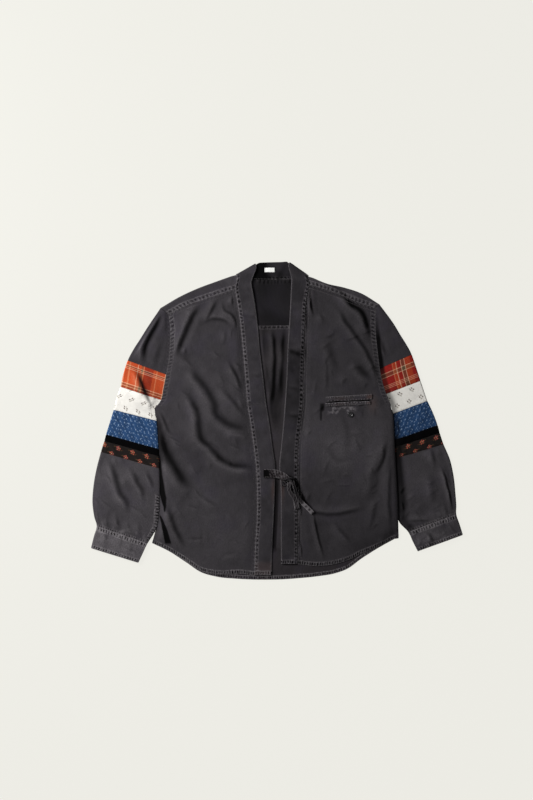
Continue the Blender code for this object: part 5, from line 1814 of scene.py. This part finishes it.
    def weave(self, pitch, slant=0.0, depth=0.00012, strength=0.5):
        """Bump of the threads: a plain weave, or a twill whose ribs slant."""
        warp, weft = self.math("DIVIDE", self.u, pitch), self.math("DIVIDE", self.v, pitch)
        ribs = self.math("SINE", self.times(self.plus(warp, self.times(weft, slant)), 2 * pi))
        picks = self.math("SINE", self.math("DIVIDE", self.v, pitch / (2 * pi)))
        height = self.plus(self.times(ribs, 0.6), self.times(picks, 0.25))
        height = self.uneven(height, 1.5, 0.0014, 0.0030)
        bump = self.node("ShaderNodeBump", {"Height": height, "Strength": strength, "Distance": depth})
        self.feed(self.surface.inputs["Normal"], bump.outputs[0])

    def done(self, colour):
        self.feed(self.surface.inputs["Base Color"], colour)
        return self.material


CHARCOAL = (0.0330, 0.0300, 0.0335)
# darker than the face: painted shade for the inside, which lies deep in the opening
SHADED_WRONG_SIDE = (0.0235, 0.0205, 0.0225)
VIOLET = (0.0335, 0.0285, 0.0430)  # where the dye has turned cold
FADED = (0.150, 0.138, 0.146)
RUST = (0.086, 0.045, 0.034)


def denim(name, dye, **sockets):
    """Washed twill: vertical streaks, a fine heather and broad mottling, pale where it is worn."""
    shader = Shader(name, 0.92, Sheen_Weight=0.03, Sheen_Roughness=0.5, **sockets)
    tone = shader.uneven(1.0, 0.55, 0.0011, 0.016, 3, 1.0)
    tone = shader.uneven(tone, 0.55, 0.0018, 0.0018, 2, 2.0)
    tone = shader.uneven(tone, 0.32, 0.009, 0.014, 2, 3.0)
    tone = shader.uneven(tone, 0.30, 0.045, 0.060, 2, 4.0)
    base = shader.scaled(dye, tone)
    nicks = shader.ramp(shader.noise(0.0040, 0.0070, 2, 10.0), 0.20, 0.30)
    base = shader.blend(shader.times(nicks, 0.30), base, FADED)
    cold = shader.ramp(shader.noise(0.060, 0.060, 2, 12.0), 0.02, 0.20)
    base = shader.blend(shader.times(cold, 0.30), base, shader.scaled(VIOLET, tone))
    base = shader.blend(shader.times(shader.warm, 0.65), base, RUST)
    shader.weave(0.0009, 1.0)
    return shader.done(shader.aged(base, FADED, 0.95, 0.72))


CREAM = (0.62, 0.38, 0.24)
PEACH = (0.50, 0.17, 0.075)
ORANGE = (0.370, 0.053, 0.015)
SCARLET = (0.225, 0.012, 0.009)
MAROON = (0.135, 0.013, 0.008)
CRIMSON = (0.165, 0.004, 0.005)
OLIVE = (0.088, 0.056, 0.030)
WORN_PLAID = (0.70, 0.42, 0.26)
# Each check's repeat in metres, and the stripes of its warp and weft from where in the repeat they start.
PLAIDS = {
    "left": {
        "repeat": (0.1000, 0.0620),
        "warp": (
            (0.00, CREAM), (0.015, ORANGE), (0.20, PEACH), (0.23, ORANGE), (0.30, CRIMSON), (0.52, PEACH),
            (0.545, OLIVE), (0.60, ORANGE), (0.67, CREAM), (0.685, ORANGE), (0.86, PEACH), (0.90, ORANGE),
        ),
        "weft": (
            (0.00, ORANGE), (0.13, CREAM), (0.155, OLIVE), (0.20, CREAM), (0.22, ORANGE), (0.255, CREAM),
            (0.285, ORANGE), (0.80, CREAM), (0.83, OLIVE), (0.90, CREAM), (0.925, OLIVE), (0.97, SCARLET),
        ),
    },
    "right": {
        "repeat": (0.0860, 0.0640),
        "warp": (
            (0.00, MAROON), (0.14, SCARLET), (0.35, PEACH), (0.375, ORANGE), (0.45, CREAM), (0.47, ORANGE),
            (0.50, SCARLET), (0.59, CREAM), (0.61, OLIVE), (0.70, CREAM), (0.72, ORANGE), (0.88, SCARLET),
        ),
        "weft": (
            (0.00, SCARLET), (0.25, CREAM), (0.275, OLIVE), (0.40, CREAM), (0.425, SCARLET), (0.70, CREAM),
            (0.72, SCARLET), (0.755, CREAM), (0.775, SCARLET), (0.81, CREAM), (0.83, MAROON),
        ),
    },
}


def plaid(hand):
    """A woven check: the warp's stripes and the weft's cross and mix."""
    shader = Shader(f"plaid_{hand}", 0.88, Sheen_Weight=0.08)
    chart = PLAIDS[hand]
    wide, high = chart["repeat"]
    warp = shader.stripes(shader.math("FRACT", shader.math("DIVIDE", shader.u, wide)), chart["warp"])
    weft_at = shader.math("FRACT", shader.math("DIVIDE", shader.times(shader.v, -1.0), high))
    weft = shader.stripes(weft_at, chart["weft"])
    over = shader.math("SINE", shader.times(shader.plus(shader.u, shader.v), 2 * pi / 0.0016))
    colour = shader.blend(shader.plus(shader.times(over, 0.16), 0.46), warp, weft)
    colour = shader.scaled(colour, shader.uneven(1.0, 0.5, 0.0030, 0.0030))
    shader.weave(0.0007)
    return shader.done(shader.aged(colour, WORN_PLAID, 0.5, 0.75))


# The prints, charted one by one: where each mark lies in its cell, and for stems how much each is squashed.
BERRIES = ((-0.0036, 0.0006), (0.0004, 0.0038), (0.0040, -0.0008))
SPRIG_STEMS = (
    (-0.0010, -0.0026, 1.6), (0.0018, 0.0012, 0.6), (0.0010, -0.0046, 1.4), (-0.0044, 0.0042, 0.7),
)
PETALS = ((-0.0037, 0.0008), (-0.0007, 0.0039), (0.0034, 0.0020), (0.0028, -0.0027), (-0.0016, -0.0034))
FLOWER_HEART = ((0.0002, 0.0004),)
FLOWER_LEAVES = ((0.0062, -0.0032), (-0.0066, -0.0038), (0.0086, 0.0030))
FLOWER_STEMS = ((0.0076, 0.0022), (-0.0084, -0.0024))
IVORY, WORN_IVORY = (0.725, 0.702, 0.655), (0.76, 0.72, 0.66)
STEM_BROWN, BERRY_BROWN = (0.16, 0.14, 0.09), (0.085, 0.055, 0.045)
BLUE, WORN_BLUE, PALE_BLUE = (0.0155, 0.0435, 0.110), (0.10, 0.16, 0.28), (0.22, 0.31, 0.45)
NIGHT, WORN_NIGHT = (0.0105, 0.0080, 0.0072), (0.10, 0.08, 0.06)
STEM_RED, LEAF_GREEN = (0.14, 0.030, 0.014), (0.085, 0.060, 0.022)
CORAL, PINK, STRAW = (0.36, 0.090, 0.050), (0.30, 0.075, 0.095), (0.52, 0.30, 0.16)


def white_calico():
    """Ivory cotton with small sprigs of three berries, in rows that drop by half."""
    shader = Shader("white_calico", 0.9, Sheen_Weight=0.05)
    cell = shader.cells(0.0300, 0.0235)
    berries = shader.spots(cell, BERRIES, 0.00165, 1.0, 0.3)
    stems = [shader.spot(cell, x, y, 0.0013, squash, 0.4) for x, y, squash in SPRIG_STEMS]
    ground = shader.scaled(IVORY, shader.uneven(1.0, 0.14, 0.010, 0.010))
    colour = shader.printed(ground, stems, 0.62, STEM_BROWN)
    colour = shader.printed(colour, berries, 0.92, BERRY_BROWN)
    shader.weave(0.0006)
    return shader.done(shader.aged(colour, WORN_IVORY, 0.4, 0.62))


def blue_calico():
    """Mottled blue cotton, scattered with small pale leaves and dots."""
    shader = Shader("blue_calico", 0.9, Sheen_Weight=0.05)
    cell, other = shader.cells(0.0105, 0.0095), shader.cells(0.0162, 0.0132)
    marks = [
        shader.spot(cell, 0.0004, 0.0006, 0.0012, 1.5, 0.35),
        shader.spot(cell, -0.0026, -0.0020, 0.0007, 0.8, 0.4),
        shader.spot(other, 0.0046, -0.0032, 0.0010, 0.7, 0.4),
        shader.spot(other, -0.0050, 0.0036, 0.0008, 1.4, 0.4),
    ]
    mottle = shader.uneven(shader.times(shader.noise(0.011, 0.020, 3), 1.1), 0.6, 0.0030, 0.0030)
    ground = shader.scaled(BLUE, shader.plus(mottle, 1.0))
    patchy = shader.uneven(0.62, 1.6, 0.014, 0.014, 1, 6.0, clamp=True)
    colour = shader.printed(ground, marks, patchy, PALE_BLUE)
    shader.weave(0.0006)
    return shader.done(shader.aged(colour, WORN_BLUE, 0.5, 0.75))


def dark_floral():
    """Black-brown cotton with five-petalled flowers in coral and pink, on red stems with small leaves."""
    shader = Shader("dark_floral", 0.9, Sheen_Weight=0.05)
    cell = shader.cells(0.0345, 0.0165)
    petals = shader.spots(cell, PETALS, 0.00185, 1.0, 0.3)
    hearts = shader.spots(cell, FLOWER_HEART, 0.0010)
    leaves = shader.spots(cell, FLOWER_LEAVES, 0.0013, 0.6, 0.3)
    stems = shader.spots(cell, FLOWER_STEMS, 0.0030, 0.16, 0.5)
    ground = shader.scaled(NIGHT, shader.uneven(1.0, 0.8, 0.0040, 0.0040))
    colour = shader.printed(ground, stems, 0.35, STEM_RED)
    colour = shader.printed(colour, leaves, 0.7, LEAF_GREEN)
    pinkness = shader.uneven(0.5, 3.0, 0.030, 0.030, 0, 8.0, clamp=True)
    petal = shader.blend(pinkness, CORAL, PINK)
    worn = shader.uneven(0.70, 2.2, 0.0045, 0.0045, 1, 9.0, clamp=True)
    colour = shader.printed(colour, petals, worn, petal)
    colour = shader.printed(colour, hearts, 0.8, STRAW)
    shader.weave(0.0006)
    return shader.done(shader.aged(colour, WORN_NIGHT, 0.4, 0.6))


def velvet():
    """Black velvet ribbon: a deep pile that only catches light at a grazing angle."""
    shader = Shader("velvet", 1.0, 0.0, Sheen_Weight=0.06, Sheen_Roughness=0.3)
    pile = shader.uneven(1.0, 1.0, 0.0012, 0.0030)
    shader.weave(0.0011, depth=0.0002)
    return shader.done(shader.scaled((0.0022, 0.0021, 0.0023), pile))


def plain(name, colour, roughness, gloss, grain):
    """One colour with a little unevenness, for the button and the thread."""
    shader = Shader(name, roughness, gloss)
    place = shader.node("ShaderNodeTexCoord").outputs["Object"]
    noise = shader.node("ShaderNodeTexNoise", {"Vector": place, "Scale": 700.0, "Detail": 2.0}).outputs[0]
    tone = shader.plus(shader.times(shader.math("SUBTRACT", noise, 0.5), grain), 1.0)
    bump = shader.node("ShaderNodeBump", {"Height": noise, "Strength": 0.2, "Distance": 0.0002})
    shader.feed(shader.surface.inputs["Normal"], bump.outputs[0])
    return shader.done(shader.scaled(colour, tone))


def woven_label():
    """White damask: a fine rib across the label."""
    shader = Shader("label", 0.8, Sheen_Weight=0.1)
    rib = shader.math("SINE", shader.times(shader.v, 2 * pi / 0.0008))
    colour = shader.scaled((0.78, 0.78, 0.75), shader.plus(shader.times(rib, 0.05), 1.0))
    shader.weave(0.0005)
    return shader.done(shader.aged(colour, (0.8, 0.8, 0.8), 0.0, 0.6))


def make_materials():
    return {
        "denim": denim("washed_denim", CHARCOAL),
        "inside": denim("denim_inside", SHADED_WRONG_SIDE),
        "plaid_left": plaid("left"),
        "plaid_right": plaid("right"),
        "white_calico": white_calico(),
        "blue_calico": blue_calico(),
        "velvet": velvet(),
        "dark_floral": dark_floral(),
        "label": woven_label(),
        "button": plain("button", (0.012, 0.011, 0.012), 0.28, 0.5, 0.3),
        "thread": plain("thread", (0.105, 0.097, 0.098), 0.8, 0.1, 0.9),
    }


# The stage

BACKDROP = (0.855, 0.847, 0.791)
FLOOR_HALF = 6.0
FLOOR_BELOW = 0.0002  # how far the floor lies under the jacket
PLAIN_SHARE = 0.96  # how much of the floor's look is its plain colour
AMBIENT = 0.24
KEY_PLACE = (-1.55, 0.75, 1.08)
KEY_SIZE = 0.8
KEY_POWER = 64.0
VIEW_CENTRE = (-0.022, 0.048)
VIEW_HEIGHT = 1.880  # what the camera sees of the floor, from top to bottom
CAMERA_ABOVE = 8.0
SENSOR = 36.0


def plain_to_the_camera(material):
    """Gives a floor its colour where it is looked at, with enough of the light left in for its shadows."""
    nodes = Nodes(material.node_tree)
    nodes.tree.nodes.clear()
    path = nodes.node("ShaderNodeLightPath").outputs
    through = nodes.math("MAXIMUM", path["Is Glossy Ray"], path["Is Transmission Ray"])
    seen = nodes.math("MAXIMUM", path["Is Camera Ray"], through)
    diffuse = nodes.node("ShaderNodeBsdfDiffuse", {0: BACKDROP}).outputs[0]
    glow = nodes.node("ShaderNodeEmission", {0: BACKDROP}).outputs[0]
    part = nodes.math("MULTIPLY", seen, PLAIN_SHARE)
    mixed = nodes.node("ShaderNodeMixShader", {0: part, 1: diffuse, 2: glow}).outputs[0]
    nodes.node("ShaderNodeOutputMaterial", {0: mixed})


def make_floor():
    mesh = bpy.data.meshes.new("floor")
    corners = [(x * FLOOR_HALF, y * FLOOR_HALF, 0) for x, y in ((-1, -1), (1, -1), (1, 1), (-1, 1))]
    mesh.from_pydata(corners, [], [(0, 1, 2, 3)])
    material = bpy.data.materials.new("floor")
    material.use_nodes = True
    plain_to_the_camera(material)
    mesh.materials.append(material)
    floor = bpy.data.objects.new("floor", mesh)
    floor.location.z = cad_low[2] - FLOOR_BELOW
    bpy.context.scene.collection.objects.link(floor)


def make_world():
    """An even light from all round, which the camera sees as the floor's colour."""
    world = bpy.data.worlds.new("studio")
    bpy.context.scene.world = world
    world.use_nodes = True
    nodes = Nodes(world.node_tree)
    seen = nodes.node("ShaderNodeLightPath").outputs["Is Camera Ray"]
    colour = nodes.blend(seen, (AMBIENT, AMBIENT, AMBIENT), BACKDROP)
    nodes.feed(nodes.tree.nodes["Background"].inputs[0], colour)


def make_key_light():
    """A soft lamp that shines low over the jacket from the upper left."""
    lamp = bpy.data.lights.new("key", "AREA")
    lamp.shape, lamp.size, lamp.energy = "DISK", KEY_SIZE, KEY_POWER
    light = bpy.data.objects.new("key", lamp)
    light.location = KEY_PLACE
    light.rotation_euler = (-Vector(KEY_PLACE)).to_track_quat("-Z", "Y").to_euler()
    bpy.context.scene.collection.objects.link(light)


def make_camera():
    """Straight above, far enough off that nothing leans outwards."""
    lens = bpy.data.cameras.new("camera")
    lens.sensor_fit = "VERTICAL"
    lens.sensor_height = SENSOR
    lens.lens = SENSOR * CAMERA_ABOVE / VIEW_HEIGHT
    lens.clip_end = 100
    camera = bpy.data.objects.new("camera", lens)
    camera.location = (*VIEW_CENTRE, CAMERA_ABOVE)
    bpy.context.scene.collection.objects.link(camera)
    bpy.context.scene.camera = camera


def make_jacket():
    """Every piece, from the back up to what lies on top, and last the stitches of all of them."""
    materials = make_materials()
    make_back(materials)
    make_yoke(materials)
    make_front(-1, "front_left_cloth", LEFT_FRONT_FOLDS, materials)
    front_right = make_front(1, "front_right_cloth", RIGHT_FRONT_FOLDS, materials)
    band_foot = make_band_foot(materials)
    band = make_band(materials)
    make_sleeve(-1, "left", materials)
    make_sleeve(1, "right", materials)
    height = surface_of(front_right)
    make_lip("upper_lip_cloth", "pocket_upper_lip", UPPER_LIP, height, materials, 72)
    make_lip("lower_lip_cloth", "pocket_lower_lip", LOWER_LIP, height, materials, 73)
    make_button(height, materials)
    make_label(materials)
    under = surface_of(front_right, band, band_foot)
    make_tie("tie_right", "tie_right", RIGHT_TIE, under, materials, 86)
    make_tie("tie_left", "tie_left", LEFT_TIE, under, materials, 84)
    make_tie("tie_knot", "tie_left", KNOT, under, materials, 88)
    thread = stitch_mesh()
    thread.materials.append(materials["thread"])
    put("stitching", thread)


view = bpy.context.scene.view_settings
view.view_transform = "Standard"
make_floor()
make_world()
make_key_light()
make_camera()
make_jacket()
